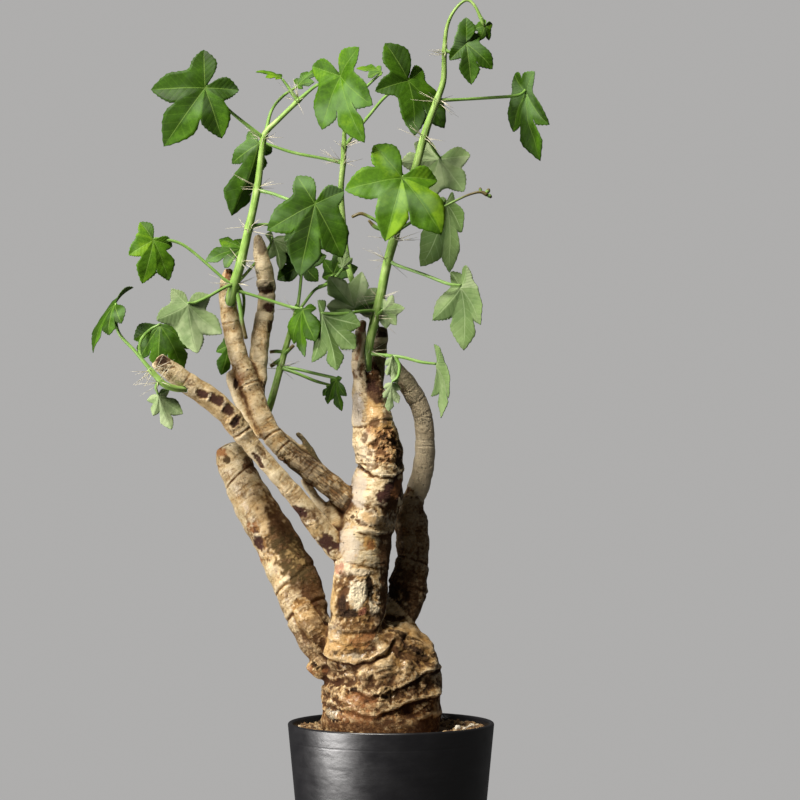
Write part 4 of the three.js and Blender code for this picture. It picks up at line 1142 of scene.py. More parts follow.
def against(limb, spots):
    """How places lie on a limb: how far outside it, how far along it and at what turn round it"""
    line = spine(LIMBS[limb], 90)
    at, radius = line["at"], line["radius"]
    nearest = np.empty(len(spots), int)
    for first in range(0, len(spots), 20000):
        some = spots[first:first + 20000]
        reach = np.linalg.norm(some[:, None] - at[None], axis=2) - radius[None]
        nearest[first:first + 20000] = reach.argmin(axis=1)
    offset = spots - at[nearest]
    along = line["along"][nearest]
    ahead = (offset * along).sum(axis=1)
    out = offset - along * ahead[:, None]
    sideways = (out * line["across"][nearest]).sum(axis=1)
    return {
        "outside": np.linalg.norm(offset, axis=1) - radius[nearest],
        "length": line["length"][nearest] + ahead,
        "turn": np.arctan2((out * line["side"][nearest]).sum(axis=1), sideways),
        "radius": radius[nearest],
        "line": line,
    }


def ridged(limb, lie, spots, facing, calm):
    """The height of the wood's swellings, rings, crust, folds and creases on a limb"""
    pitch, height, lobing, ringed, crust = FOLDS.get(limb, FOLDS[""])
    length, turn, radius = lie["length"], lie["turn"], lie["radius"]
    wave = np.sin(2 * math.pi * (length + 2.2 * np.sin(turn + length / 23)) / pitch)
    rise = height * (0.7 * wave + 0.3 * np.sin(2 * turn + length / 9))
    rise += lobing * LIMBS[limb][1][3] * np.sin(3 * turn + length / 31)
    rise += 0.05 * radius * field(spots, 9.0, 2.2)
    straight = np.stack([radius * np.cos(turn) / 4.5, radius * np.sin(turn) / 4.5, length], axis=1)
    rise -= ringed * np.exp(-((field(straight, 4.2, 6.6) / 0.07) ** 2))
    rough = (0.2 + 0.8 * smoothstep(-0.1, 0.35, field(spots, 12.0, 7.7))) * (1 - 0.9 * calm)
    rise += crust * rough * (1.9 * np.abs(field(spots, 4.4, 9.1)) ** 0.8 + 0.7 * field(spots, 2.1, 1.9) - 0.5)
    if limb == "base":
        rise += sagging(spots, facing)
    rise += overhung(limb, spots, facing) + creased(limb, lie, spots)
    return smoothstep(FOLD_START, FOLD_FULL, spots[:, 2]) * rise


def sagging(spots, facing):
    """Slanting folds that sag over each other round the base, less on the near side, and broad lumps"""
    level = spots[:, 2] - SAG_SLANT * spots[:, 0]
    phase = level / SAG_PITCH + 0.6 * field(spots, 17.0, 8.8)
    share = phase - np.floor(phase)
    fold = (1 - share) * smoothstep(0, 0.14, share) - 0.45
    strength = smoothstep(-0.35, 0.35, field(spots, 21.0, 2.9)) * (1 - 0.7 * facing)
    lumps = 1.9 * field(spots, 12.0, 5.5) + 1.2 * field(spots, 6.5, 3.1) + 0.4 * field(spots, 3.3, 1.1)
    return SAG_HEIGHT * strength * fold + lumps


def overhung(limb, spots, facing):
    """The folds of the near side, each a swelling that ends in a sharp step down"""
    columns, rows = pixels_of(spots)
    rise = np.zeros(len(spots))
    wander = 2.2 * field(spots, 6.0, 3.9) + 0.9 * field(spots, 2.5, 4.4)
    for limbs, line, height in LEDGES:
        if limb not in limbs:
            continue
        across, down = np.array(line, float).T
        below = rows + wander - np.interp(columns, across, down)
        left_end = smoothstep(across[0] - 6, across[0] + 3, columns)
        ends = left_end * smoothstep(across[-1] + 6, across[-1] - 3, columns)
        step = smoothstep(-2.2, 1.6, below)
        above = 0.6 * np.exp(-((below / 9) ** 2))
        under = 0.6 * np.exp(-((below / 7) ** 2)) + 0.15 * np.exp(-((below / 2.5) ** 2))
        rise += height * ends * facing * (above * (1 - step) - under * step)
    return rise


def creased(limb, lie, spots):
    """The dark creases that run right round a limb, with a lip on either side"""
    rise = np.zeros(len(spots))
    line = lie["line"]
    columns, rows = pixels_of(line["at"])
    wander = 0.9 * field(spots, 13.0, 4.7) + 0.3 * field(spots, 3.0, 4.1)
    for column, row, depth, half_width, lean in CREASES.get(limb, []):
        middle = np.hypot(columns - column, rows - row).argmin()
        sideways = np.cos(lie["turn"]) * lie["radius"]
        travel = lie["length"] - line["length"][middle] + lean * sideways + wander
        near = travel / (half_width * PIXEL * 1.6)
        rise += depth * (0.45 * np.exp(-((near / 3.2) ** 2)) - np.exp(-(near**2)))
    return rise


def daubed(spots, facing, limbs, names):
    """The marks on the bark as colours with their strength, how much they dip, and where they are smooth"""
    colours = np.zeros((len(spots), 4))
    dip = np.zeros(len(spots))
    calm = np.zeros(len(spots))
    columns, rows = pixels_of(spots)
    ragged = 0.42 * field(spots, 4.2, 1.3) + 0.3 * field(spots, 1.8, 5.3)
    crumbled = 0.5 + 0.55 * field(spots, 3.9, 6.1) + 0.4 * field(spots, 1.5, 2.3)
    for limb, marks in MARKS.items():
        on_limb = facing * (limbs == names.index(limb))
        for column, row, wide, high, lean, colour, strength, depth, broken in marks:
            turn = math.radians(lean)
            right, down = columns - column, rows - row
            u = (right * math.cos(turn) + down * math.sin(turn)) / wide
            v = (down * math.cos(turn) - right * math.sin(turn)) / high
            inside = smoothstep(*MARK_EDGE, np.hypot(u, v) + ragged) * on_limb
            if broken:
                inside = inside * smoothstep(broken - MARK_BREAK, broken + MARK_BREAK, crumbled)
            shown = inside * strength
            colours[:, :3] = colours[:, :3] * (1 - shown)[:, None] + np.array(colour) * shown[:, None]
            colours[:, 3] = colours[:, 3] * (1 - shown) + shown
            dip += depth * inside
            if colour in SMOOTH_MARKS:
                calm = np.maximum(calm, shown)
    covered = np.maximum(colours[:, 3], 1e-4)[:, None]
    colours[:, :3] = np.where(colours[:, 3:] > 1e-4, colours[:, :3] / covered, 0)
    return colours, dip, calm


def woody_body():
    """The wood: limbs grown into one, with folds, rings, creases and scars, and a socket for each shoot"""
    grown = Body()
    for stations in LIMBS.values():
        corners, faces, _ = rod(stations, LIMB_SIDES, LIMB_RINGS)
        grown.add(corners, faces)
    wood = grown.made("woody_body")
    modified(wood, "REMESH", mode="VOXEL", voxel_size=VOXEL * MM)
    mesh = wood.data
    edges = neighbours(mesh)
    spots = evened(places_of(mesh), edges, SMOOTHING)
    mesh.vertices.foreach_set("co", (spots * MM).ravel())
    mesh.update()
    normals = normals_of(mesh)
    names = list(LIMBS)
    lies = [against(name, spots) for name in names]
    outside = np.stack([lie["outside"] for lie in lies])
    limbs = outside.argmin(axis=0)
    facing = smoothstep(0.35, -0.05, normals[:, 1])
    colours, dip, calm = daubed(spots, facing, limbs, names)
    rise = np.zeros(len(spots))
    weight = np.zeros(len(spots))
    pallor = np.zeros(len(spots))
    for name, lie in zip(names, lies):
        share = np.exp(-(np.maximum(0, lie["outside"] - outside.min(axis=0))) / LIMB_BLEND)
        near = share > LEAST_SHARE
        part = {key: lie[key][near] for key in ("length", "turn", "radius")} | {"line": lie["line"]}
        rise[near] += share[near] * ridged(name, part, spots[near], facing[near], calm[near])
        weight[near] += share[near]
        pallor[near] += share[near] * LIMB_TONE_AND_LIGHT.get(name, 0)
    spots = spots + normals * (rise / weight - dip)[:, None]
    mesh.vertices.foreach_set("co", (spots * MM).ravel())
    mesh.update()
    normals = normals_of(mesh)
    fine = evened(spots, edges, FINE_ROUNDS)
    broad = evened(spots, edges, BROAD_ROUNDS)
    # How sunken each corner is, finely and broadly: the bark finish darkens the hollows by this as painted
    # shade
    hollow = ((fine - spots) * normals).sum(axis=1)
    hollow_broad = ((broad - spots) * normals).sum(axis=1)
    length, turn, radius = (
        np.stack([lie[key] for lie in lies])[limbs, np.arange(len(spots))]
        for key in ("length", "turn", "radius"))
    straight = np.stack([radius * np.cos(turn), radius * np.sin(turn), length + PATTERN_STEP * limbs], axis=1)
    carry(mesh, "bark", straight)
    carry(mesh, "marks", colours)
    carry(mesh, "wear", np.stack([hollow, hollow_broad, corky(spots, limbs, names)], axis=1))
    carry(mesh, "age", aged(spots, limbs, names))
    carry(mesh, "pallor", pallor / weight)
    for plan in SHOOTS.values():
        foot = Body()
        foot.add(*rod(plan["stem"][:SOCKET_ROWS], SOCKET_SIDES, SOCKET_RINGS, grow=GAP)[:2])
        cut_by(wood, foot.made("foot"), "MANIFOLD")
    return wood


def corky(spots, limbs, names):
    """Where the upper branch's bark is corky and split lengthwise"""
    column = pixels_of(spots)[0]
    on = limbs == names.index("upper_branch")
    return on * smoothstep(*CORK_START, column) * smoothstep(*CORK_END, column)


def aged(spots, limbs, names):
    """How brown the bark is, from 0 on the young limbs to 1 at the soil, with the rear trunk browned as
    painted shade
    """
    low = smoothstep(AGED_FROM, AGED_FULL, spots[:, 2])
    # The rear trunk is browned as painted shade
    rear = limbs == names.index("rear_trunk")
    return np.clip(np.maximum(0.15 + 0.85 * low, 0.9 * rear), 0, 1)


def stem_swell(plan):
    """A thickening where each leaf stalk leaves the stem"""
    nodes = [seen(*leaf["stalk"][0]) for leaf in plan["leaves"]]

    def swell(line):
        """How much thicker the stem is at each ring"""
        gain = np.zeros(len(line["length"]))
        for node in nodes:
            near = np.linalg.norm(line["at"] - node, axis=1)
            gain = np.maximum(gain, NODE_SWELL * np.exp(-((near / NODE_LENGTH) ** 2)))
        return gain * smoothstep(SWELL_FROM, SWELL_FULL, line["length"])
    return swell


def green_rods(name, plan):
    """A shoot's stem, leaf stalks and flower stalks"""
    rods = Body()
    parts = [(plan["stem"], STEM_SIDES, STEM_RINGS, stem_swell(plan), 0.0)]
    foot, middle, tip = STALK_RADII
    for leaf in plan["leaves"]:
        stalk = leaf["stalk"]
        end = [value - 0.6 * HEEL * leaf["tips"][2][axis] for axis, value in enumerate(stalk[-1])]
        stations = [(*stalk[0], foot)] + [(*place, middle) for place in stalk[1:-1]] + [(*end, tip)]
        parts.append((stations, STALK_SIDES, 5 * len(stalk), None, STALK_KIND))
    for twig in plan["twigs"]:
        parts.append((twig, STALK_SIDES, 4 * len(twig), None, TWIG_KIND))
    for stations, sides, rings, swell, kind in parts:
        corners, faces, straight = rod(stations, sides, rings, swell=swell)
        share = straight[:, 2] / straight[-1, 2]
        carried = {"stem": straight, "part": np.stack([np.full(len(share), kind), share, share * 0], axis=1)}
        rods.add(corners, faces, carried)
    return rods.made(name)


def half_lobe(lobe, next_lobe, middle, width, rib_normal, normal, way, tooth, depth):
    """Half a lobe as a grid from its midrib to its margin, with what its veins follow"""
    length = np.linalg.norm(lobe)
    ahead = lobe / length
    side = np.cross(normal, ahead) * way
    side /= np.linalg.norm(side)
    inner = next_lobe is not None
    other = np.linalg.norm(next_lobe if inner else middle)
    cosine = lobe.dot(next_lobe) / length / other if inner else 0
    half = math.acos(np.clip(cosine, -1, 1)) / 2 if inner else OUTER_SPREAD
    reach = min(depth * (length + other) / 2, SINUS_LIMIT * min(length, other)) if inner else 0
    sinus = (reach * math.cos(half), reach * math.sin(half))
    start = sinus[0] / length
    first = JOINED_ROWS if inner else 0
    rows = np.arange(LEAF_ROWS + 1)
    share = start + (1 - start) * np.clip((rows - first) / (LEAF_ROWS - first), 0, 1)
    swell = np.sin(math.pi / 2 * np.clip((share - start) / max(0.1, WIDEST - start), 0, 1))
    taper = 1 - np.clip((share - WIDEST) / (1 - WIDEST), 0, 1) ** LOBE_TAPER
    off = (sinus[1] + (width * length - sinus[1]) * swell) * taper
    if inner:
        off = np.minimum(off, 0.97 * share * length * math.tan(half))
        joined = np.minimum(rows / first, 1)
        edge_along = np.where(rows <= first, sinus[0] * joined, share * length)
        edge_off = np.where(rows <= first, sinus[1] * joined, off)
    else:
        edge_along, edge_off = share * length, off
    column = np.arange(LEAF_COLUMNS + 1)[None, :] / LEAF_COLUMNS
    along = (length * rows / LEAF_ROWS)[:, None] * (1 - column) + edge_along[:, None] * column
    across = edge_off[:, None] * column
    free = (rows > first + 1) & (rows < LEAF_ROWS - 1)
    saw = np.where(free, (rows % 3 == 1) * 1.0 - (rows % 3 == 2) * 0.3, 0)
    across[:, -1] += tooth * saw
    along[:, -1] += 0.6 * tooth * saw
    blend = np.minimum(1, np.arctan2(across, along) / half)
    span = length + ((length + other) / 2 - length) * blend
    spread = np.minimum(1, np.hypot(along, across) / span)
    rise = FOLD * across + ARCH * span * 4 * spread * (1 - spread) * (1 - 0.4 * spread)
    up = rib_normal * (1 - blend[..., None]) + normal * blend[..., None]
    up /= np.linalg.norm(up, axis=2)[..., None]
    grid = up * rise[..., None] + ahead * along[..., None] + side * across[..., None]
    if not inner:
        near = smoothstep(0, 4, rows)[:, None] * column + (1 - column)
        heel = -HEEL * middle
        grid = grid * near[..., None] + (heel * column[..., None]) * (1 - near[..., None])
    veins = np.stack([
        across * way,
        (along - 0.85 * across) / length,
        np.broadcast_to(along / length, along.shape),
    ], axis=2)
    return grid, veins


def leaf_sheet(leaf, seed):
    """A leaf's blade: a closed thin sheet with toothed margins, and what its finish reads"""
    base = seen(*leaf["stalk"][-1])
    lobes = [np.array([x, depth, z], float) for x, z, depth in leaf["tips"]]
    normals = [np.cross(lobes[k], lobes[k + 1]) for k in range(4)]
    normals = [normal / np.linalg.norm(normal) for normal in normals]
    size = np.linalg.norm(lobes[2])
    tooth = TOOTH * min(1, size / 28) ** 2
    corners, veins, faces, lobe_light = [], [], [], []
    across = LEAF_COLUMNS + 1
    for k, lobe in enumerate(lobes):
        before, after = normals[max(k - 1, 0)], normals[min(k, 3)]
        rib_normal = (before + after) / np.linalg.norm(before + after)
        for way, normal, other in ((-1, before, k - 1), (1, after, k + 1)):
            next_lobe = lobes[other] if 0 <= other < 5 else None
            grid, lines = half_lobe(
                lobe, next_lobe, lobes[2], LOBE_WIDTHS[k], rib_normal, normal, way, tooth, leaf["sinus"])
            start = len(corners) * (LEAF_ROWS + 1) * across
            corners.append(grid.reshape(-1, 3))
            veins.append(lines.reshape(-1, 3))
            # Painted light and shade: each half lobe a little brighter or darker, one side of the fold more
            # than the other
            shade = noise.noise(Vector((2.7 * seed + 0.3, 1.9 * k + 0.6, 0.9 * way))) + 0.12 * way
            lobe_light.append(np.full(len(corners[-1]), shade))
            for i in range(LEAF_ROWS):
                for j in range(LEAF_COLUMNS):
                    a = start + i * across + j
                    face = [a, a + across, a + across + 1, a + 1]
                    faces.append(face if way > 0 else face[::-1])
    corners = np.concatenate(corners)
    veins = np.concatenate(veins)
    lobe_light = np.concatenate(lobe_light)
    ripple = RIPPLE * size * field(corners, 0.28 * size, 3.7 * seed)
    ripple = ripple * smoothstep(0.1, 0.7, np.linalg.norm(corners, axis=1) / size)
    return base, corners, veins, faces, ripple, lobe_light


def thick_leaf(sheet, leaves, tone):
    """Adds a leaf to the rest, with an upper and an under face and a wall round its margin"""
    base, corners, veins, faces, ripple, lobe_light = sheet
    _, first, same = np.unique(np.round(corners, 2), axis=0, return_index=True, return_inverse=True)
    same = same.ravel()
    spots = corners[first]
    ripple = ripple[first]
    kept, lines = [], []
    for face in faces:
        merged = [same[i] for i in face]
        use = [n for n in range(4) if merged[n] != merged[n - 1]]
        if len({merged[n] for n in use}) > 2:
            kept.append([merged[n] for n in use])
            lines.append([veins[face[n]] for n in use])
    normals = np.zeros_like(spots)
    for face in kept:
        way = np.cross(spots[face[1]] - spots[face[0]], spots[face[-1]] - spots[face[0]])
        for i in face:
            normals[i] += way
    normals /= np.maximum(np.linalg.norm(normals, axis=1), 1e-9)[:, None]
    spots = spots + normals * ripple[:, None]
    count = len(spots)
    upper = spots + normals * (BLADE / 2)
    under = spots - normals * (BLADE / 2)
    edges = {}
    for face, values in zip(kept, lines):
        for n, i in enumerate(face):
            edges[(i, face[(n + 1) % len(face)])] = (values[n], values[(n + 1) % len(face)])
    all_faces = list(kept)
    all_lines = list(lines)
    for face, values in zip(kept, lines):
        all_faces.append([i + count for i in face[::-1]])
        all_lines.append(values[::-1])
    for (i, k), (one, two) in edges.items():
        if (k, i) not in edges:
            all_faces.append([k, i, i + count, k + count])
            all_lines.append([two, one, one, two])
    faced = np.concatenate([np.ones(count), np.zeros(count)])
    look = np.stack([faced, np.full(2 * count, tone), np.tile(lobe_light[first], 2)], axis=1)
    leaves.add(
        np.concatenate([upper, under]) + base,
        all_faces,
        {"look": look},
        {"veins": np.array([value for values in all_lines for value in values])},
    )


def bristle_shape():
    """One bristle of unit length, modelled once"""
    bpy.ops.mesh.primitive_cone_add(
        vertices=4, radius1=1, radius2=0.2, depth=1, end_fill_type="TRIFAN", location=(0, 0, 0.5))
    bristle = settled(bpy.context.object, "bristle")
    corners = np.array([corner.co[:] for corner in bristle.data.vertices])
    faces = [list(face.vertices) for face in bristle.data.polygons]
    bpy.data.objects.remove(bristle)
    return corners, faces


def bristles(name, plan, shape, rng):
    """Pale bristles that stand out round each node of a stem"""
    corners, faces = shape
    tuft = Body()
    stem = spine(plan["stem"], 80)
    tufted = []
    for leaf in plan["leaves"]:
        node = seen(*leaf["stalk"][0])
        nearest = np.linalg.norm(stem["at"] - node, axis=1).argmin()
        if np.linalg.norm(stem["at"][nearest] - node) > NODE_REACH or stem["radius"][nearest] < 1:
            continue
        if any(np.linalg.norm(node - earlier) < NODE_SPACING for earlier in tufted):
            continue
        tufted.append(node)
        for _ in range(BRISTLES_A_NODE):
            turn = rng.uniform(0, 2 * math.pi)
            out = math.cos(turn) * stem["across"][nearest] + math.sin(turn) * stem["side"][nearest]
            way = out + stem["along"][nearest] * rng.uniform(-0.5, 0.75) + rng.normal(size=3) * 0.1
            way /= np.linalg.norm(way)
            side = np.cross(way, (0.1, 0.3, 1.0))
            side /= np.linalg.norm(side)
            frame_of = np.stack([side * BRISTLE_RADIUS, np.cross(way, side) * BRISTLE_RADIUS, way])
            long = corners * (1, 1, rng.uniform(*BRISTLE_LENGTHS))
            slide = stem["along"][nearest] * rng.uniform(-1.5, 1.5)
            start = stem["at"][nearest] + slide + out * 0.7 * stem["radius"][nearest]
            tuft.add(long @ frame_of + start, faces)
    return tuft.made(name)


def foliage(name, plan, rng):
    """All the leaves of a shoot"""
    leaves = Body()
    for i, leaf in enumerate(plan["leaves"]):
        thick_leaf(leaf_sheet(leaf, i + 1), leaves, leaf["tone"] + rng.uniform(-0.1, 0.1))
    return leaves.made(name)


class Shade:
    """An output of a shader node, with which sums are written as plain arithmetic"""

    def __init__(self, finish, socket):
        self.finish = finish
        self.socket = socket

    def __add__(self, other):
        return self.finish.math("ADD", self, other)

    def __sub__(self, other):
        return self.finish.math("SUBTRACT", self, other)

    def __rsub__(self, other):
        return self.finish.math("SUBTRACT", other, self)

    def __mul__(self, other):
        return self.finish.math("MULTIPLY", self, other)

    __radd__ = __add__


class Finish:
    """A material whose nodes nearly all come from one method; parts adds its own"""

    def __init__(self, name):
        self.material = bpy.data.materials.new(name)
        self.material.use_nodes = True
        self.tree = self.material.node_tree
        self.tree.nodes.clear()

    def node(self, kind, settings=None, values=None, output=0):
        """A node of a type, with its settings, and the values or links of its sockets"""
        node = self.tree.nodes.new("ShaderNode" + kind)
        for name, setting in (settings or {}).items():
            if name == "stops":
                self.lay_stops(node.color_ramp, setting)
            else:
                setattr(node, name, setting)
        for name, value in (values or {}).items():
            socket = node.inputs[name]
            if isinstance(value, Shade):
                self.tree.links.new(value.socket, socket)
            elif isinstance(value, tuple) and socket.type == "RGBA":
                socket.default_value = (*value, 1)
            else:
                socket.default_value = value
        return Shade(self, node.outputs[output]) if node.outputs else node

    def lay_stops(self, ramp, stops):
        """Sets a ramp's stops, each a position and a colour"""
        while len(ramp.elements) < len(stops):
            ramp.elements.new(0.5)
        for element, (place, colour) in zip(ramp.elements, stops):
            element.position = place
            element.color = (*colour, 1)

    def math(self, operation, a, b=0.0):
        """A sum of one or two values"""
        return self.node("Math", {"operation": operation}, {0: a, 1: b})

    def clear(self, value):
        """The value held between 0 and 1"""
        return self.node("Clamp", {}, {"Value": value})

    def step(self, value, low, high):
        """A smooth climb from 0 at low to 1 at high"""
        return self.node("MapRange", {"interpolation_type": "SMOOTHSTEP"}, {0: value, 1: low, 2: high})

    def noise(self, place, scale, detail=3.0, rough=0.55, warp=0.0):
        """Soft noise from 0 to 1"""
        values = {"Vector": place, "Scale": scale, "Detail": detail, "Roughness": rough, "Distortion": warp}
        return self.node("TexNoise", {}, values)

    def cells(self, place, scale, feature="F1", output=0):
        """Cells: output 0 is the distance to a cell's middle or edge, and 1 is the cell's own colour"""
        return self.node("TexVoronoi", {"feature": feature}, {"Vector": place, "Scale": scale}, output)

    def swayed(self, place, scale, reach):
        """Places pushed about by soft noise, so that a pattern's edges wander"""
        push = self.node("TexNoise", {}, {"Vector": place, "Scale": scale, "Detail": 2}, 1)
        pushes = {0: push, 1: (reach, reach, reach), 2: place}
        return self.node("VectorMath", {"operation": "MULTIPLY_ADD"}, pushes)

    def stretched(self, place, share):
        """Places scaled along each axis"""
        return self.node("VectorMath", {"operation": "MULTIPLY"}, {0: place, 1: share})

    def mixed(self, share, a, b):
        """Colour a, with a share of colour b"""
        return self.node("Mix", {"data_type": "RGBA"}, {0: share, 6: a, 7: b}, 2)

    def luminance(self, colour):
        """How bright a colour is"""
        return self.node("RGBToBW", {}, {"Color": colour})

    def ramp(self, value, *stops):
        """The colour that the stops give a value"""
        return self.node("ValToRGB", {"stops": stops}, {"Fac": value})

    def carried(self, name, output=1):
        """What the mesh carries: output 0 is a colour, 1 a place, 2 a number and 3 a colour's strength"""
        return self.node("Attribute", {"attribute_name": name}, {}, output)

    def parts(self, place):
        """The three numbers of a place"""
        split = self.tree.nodes.new("ShaderNodeSeparateXYZ")
        self.tree.links.new(place.socket, split.inputs[0])
        return [Shade(self, socket) for socket in split.outputs]

    def place(self):
        """Object coordinates in millimetres"""
        where = self.node("TexCoord", {}, {}, 3)
        return self.stretched(where, (1000, 1000, 1000))

    def skin(self, colour, roughness, height=None, depth=1.0, **constants):
        """The surface: a colour, a roughness, a relief of a depth in millimetres, and plain settings"""
        values = {"Base Color": colour, "Roughness": roughness}
        if height is not None:
            relief = {"Strength": 1.0, "Distance": depth * MM, "Height": height}
            values["Normal"] = self.node("Bump", {}, relief)
        values.update({name.replace("_", " "): value for name, value in constants.items()})
        surface = self.node("BsdfPrincipled", {}, values)
        self.node("OutputMaterial", {}, {"Surface": surface})
        return self.material


def matte_glaze():
    """The pot's near-black matte glaze, with faint throwing lines"""
    f = Finish("matte_glaze")
    place = f.place()
    lines = f.noise(f.stretched(place, (0.012, 0.012, 1.0)), 0.55, 4, 0.6)
    speckle = f.noise(place, 0.9, 4, 0.65)
    cloud = f.noise(place, 0.05, 3)
    tone = f.clear(lines * 0.5 + cloud * 0.5)
    blotch = f.noise(f.stretched(place, (1.0, 1.0, 1.7)), 0.075, 2, 0.5)
    colour = f.ramp(tone, (0.3, (0.0035, 0.0032, 0.0042)), (0.7, (0.0065, 0.006, 0.0078)))
    colour = f.mixed(f.step(speckle, 0.62, 0.75) * 0.2, colour, (0.018, 0.017, 0.018))
    roughness = f.clear(0.20 + lines * 0.03 + speckle * 0.08 + blotch * 0.26)
    groove = f.step(f.math("ABSOLUTE", f.parts(place)[2] - GROOVE_LEVEL), 0.9, 0.2)
    height = lines * 0.10 + speckle * 0.12 + blotch * 1.6 - groove * 0.2
    return f.skin(colour, roughness, height, 0.22, Specular_IOR_Level=0.9)


def gravel_finish():
    """Tan, ochre and pale angular grit"""
    f = Finish("gravel_grit")
    place = f.place()
    hue = f.carried("hue", 2)
    grain = f.noise(place, 1.4, 5, 0.7)
    colour = f.ramp(
        f.clear(hue * 0.9 + grain * 0.2 - 0.1),
        (0.0, (0.07, 0.038, 0.018)), (0.3, (0.20, 0.11, 0.045)), (0.6, (0.33, 0.21, 0.09)),
        (0.85, (0.45, 0.34, 0.19)), (1.0, (0.70, 0.64, 0.52)))
    colour = f.mixed(f.step(grain, 0.45, 0.3) * 0.6, colour, (0.05, 0.03, 0.018))
    return f.skin(colour, 0.9, grain, 0.3)


def bark_finish():
    """Cream and tan bark: fine rings round each limb, flakes, pits and dark scars, with painted shade
    darkening its hollows and folds and painted highlights on its ridges
    """
    f = Finish("bark")
    bark = f.carried("bark")
    where = f.place()
    hollow, hollow_broad, cork = f.parts(f.carried("wear"))
    age = f.carried("age", 2)
    marks = f.carried("marks", 0)
    marked = f.carried("marks", 3)
    cloud = f.noise(where, 0.055, 3, 0.6)
    mottle = f.noise(where, 0.20, 6, 0.68, 0.8)
    grain = f.noise(where, 1.1, 5, 0.75)
    crumbs = f.noise(where, 0.55, 5, 0.7, 0.5)
    flaky = f.swayed(where, 0.5, 1.6)
    flake = f.parts(f.cells(flaky, 0.5, output=1))[0]
    cracks = f.step(f.cells(flaky, 0.5, "DISTANCE_TO_EDGE"), 0.09, 0.0)
    rings = f.noise(f.stretched(bark, (0.10, 0.10, 1.0)), 0.75, 4, 0.6, 0.3)
    ring_lines = f.step(f.math("ABSOLUTE", rings - 0.5), 0.04, 0.0)
    strands = f.noise(f.stretched(bark, (1.0, 1.0, 0.11)), 0.95, 4, 0.6, 0.4)
    split = f.step(f.math("ABSOLUTE", strands - 0.5), 0.06, 0.0)
    pits = f.step(f.cells(where, 0.17), 0.16, 0.06) * f.step(mottle, 0.42, 0.6)
    pits = f.clear(pits + f.step(f.cells(where, 0.4), 0.17, 0.06) * f.step(cloud, 0.45, 0.6))
    crusted = f.clear(age * 0.9 + f.step(cloud, 0.50, 0.62) * 0.35)
    tone = f.clear(mottle * 0.5 + grain * 0.2 + crumbs * 0.3 + (flake - 0.5) * crusted * 0.22)
    # Each limb's own tone, with painted light on the curved branch
    pallor = f.carried("pallor", 2)
    # The hollows darken the tone as painted shade
    shaded_tone = f.clear(tone - hollow_broad * 0.13 - hollow * 0.3 + pallor - cork * 0.10)
    young = f.ramp(
        shaded_tone,
        (0.32, (0.17, 0.085, 0.028)), (0.41, (0.40, 0.265, 0.115)), (0.50, (0.58, 0.45, 0.245)),
        (0.64, (0.74, 0.62, 0.40)))
    old = f.ramp(
        shaded_tone,
        (0.35, (0.026, 0.008, 0.002)), (0.44, (0.10, 0.036, 0.008)), (0.515, (0.25, 0.118, 0.034)),
        (0.60, (0.52, 0.31, 0.12)), (0.70, (0.84, 0.66, 0.38)))
    browned = f.clear(age * 0.95 + f.step(cloud, 0.45, 0.65) * 0.4 - 0.1)
    colour = f.mixed(browned, young, old)
    honey = f.step(f.noise(where, 0.075, 3, 0.6), 0.50, 0.66)
    colour = f.mixed(honey * 0.4, colour, (0.56, 0.33, 0.11))
    colour = f.mixed(ring_lines * 0.35 * (1 - cork), colour, (0.17, 0.10, 0.045))
    colour = f.mixed(cracks * crusted * 0.35, colour, (0.06, 0.026, 0.010))
    colour = f.mixed(split * cork * 0.85, colour, (0.07, 0.04, 0.018))
    # Painted shade in the fine and the broad hollows
    colour = f.mixed(f.step(hollow, 0.02, 0.18) * 0.65, colour, (0.07, 0.024, 0.006))
    colour = f.mixed(f.step(hollow_broad, 0.1, 1.0) * 0.8, colour, (0.050, 0.016, 0.004))
    # Darker towards the soil
    dark_low = f.step(f.parts(where)[2], DARKER_FROM, DARKER_FULL) * f.step(mottle + cloud * 0.5, 0.95, 0.62)
    colour = f.mixed(dark_low * 0.75, colour, (0.10, 0.036, 0.010))
    # Painted highlight on the raised ridges
    raised = f.mixed(age, (0.76, 0.64, 0.42), (0.72, 0.50, 0.24))
    colour = f.mixed(f.step(hollow, -0.02, -0.12) * 0.45, colour, raised)
    colour = f.mixed(pits * 0.85, colour, (0.03, 0.014, 0.008))
    fibre = f.noise(f.stretched(bark, (1.0, 1.0, 0.08)), 1.8, 3, 0.6)
    fresh = f.step(f.luminance(marks), 0.70, 0.80)
    speckled = f.mixed(f.step(crumbs, 0.55, 0.70) * (1 - fresh) * 0.3, marks, (0.45, 0.26, 0.11))
    daub = f.mixed(f.step(fibre, 0.60, 0.36) * (0.12 + fresh * 0.3), speckled, (0.10, 0.05, 0.02))
    colour = f.mixed(f.clear(marked * (0.8 + grain * 0.5)), colour, daub)
    roughness = f.clear(0.80 - f.step(f.luminance(colour), 0.03, 0.4) * 0.48 + grain * 0.2)
    relief = grain * 0.3 + rings * 0.25 + mottle * 0.4 + crumbs * (0.35 + age * 0.5)
    flakes = (flake * 0.5 - cracks * 0.35) * crusted
    height = relief + flakes + strands * cork * 0.9 - split * cork * 0.9 - pits * 0.8
    varnish = f.step(f.luminance(colour), 0.06, 0.32) * (0.15 + age * 0.35) * (1 - marked * fresh * 0.8)
    return f.skin(
        colour, roughness, height, 1.0, Specular_IOR_Level=0.22, Coat_Weight=varnish, Coat_Roughness=0.22)


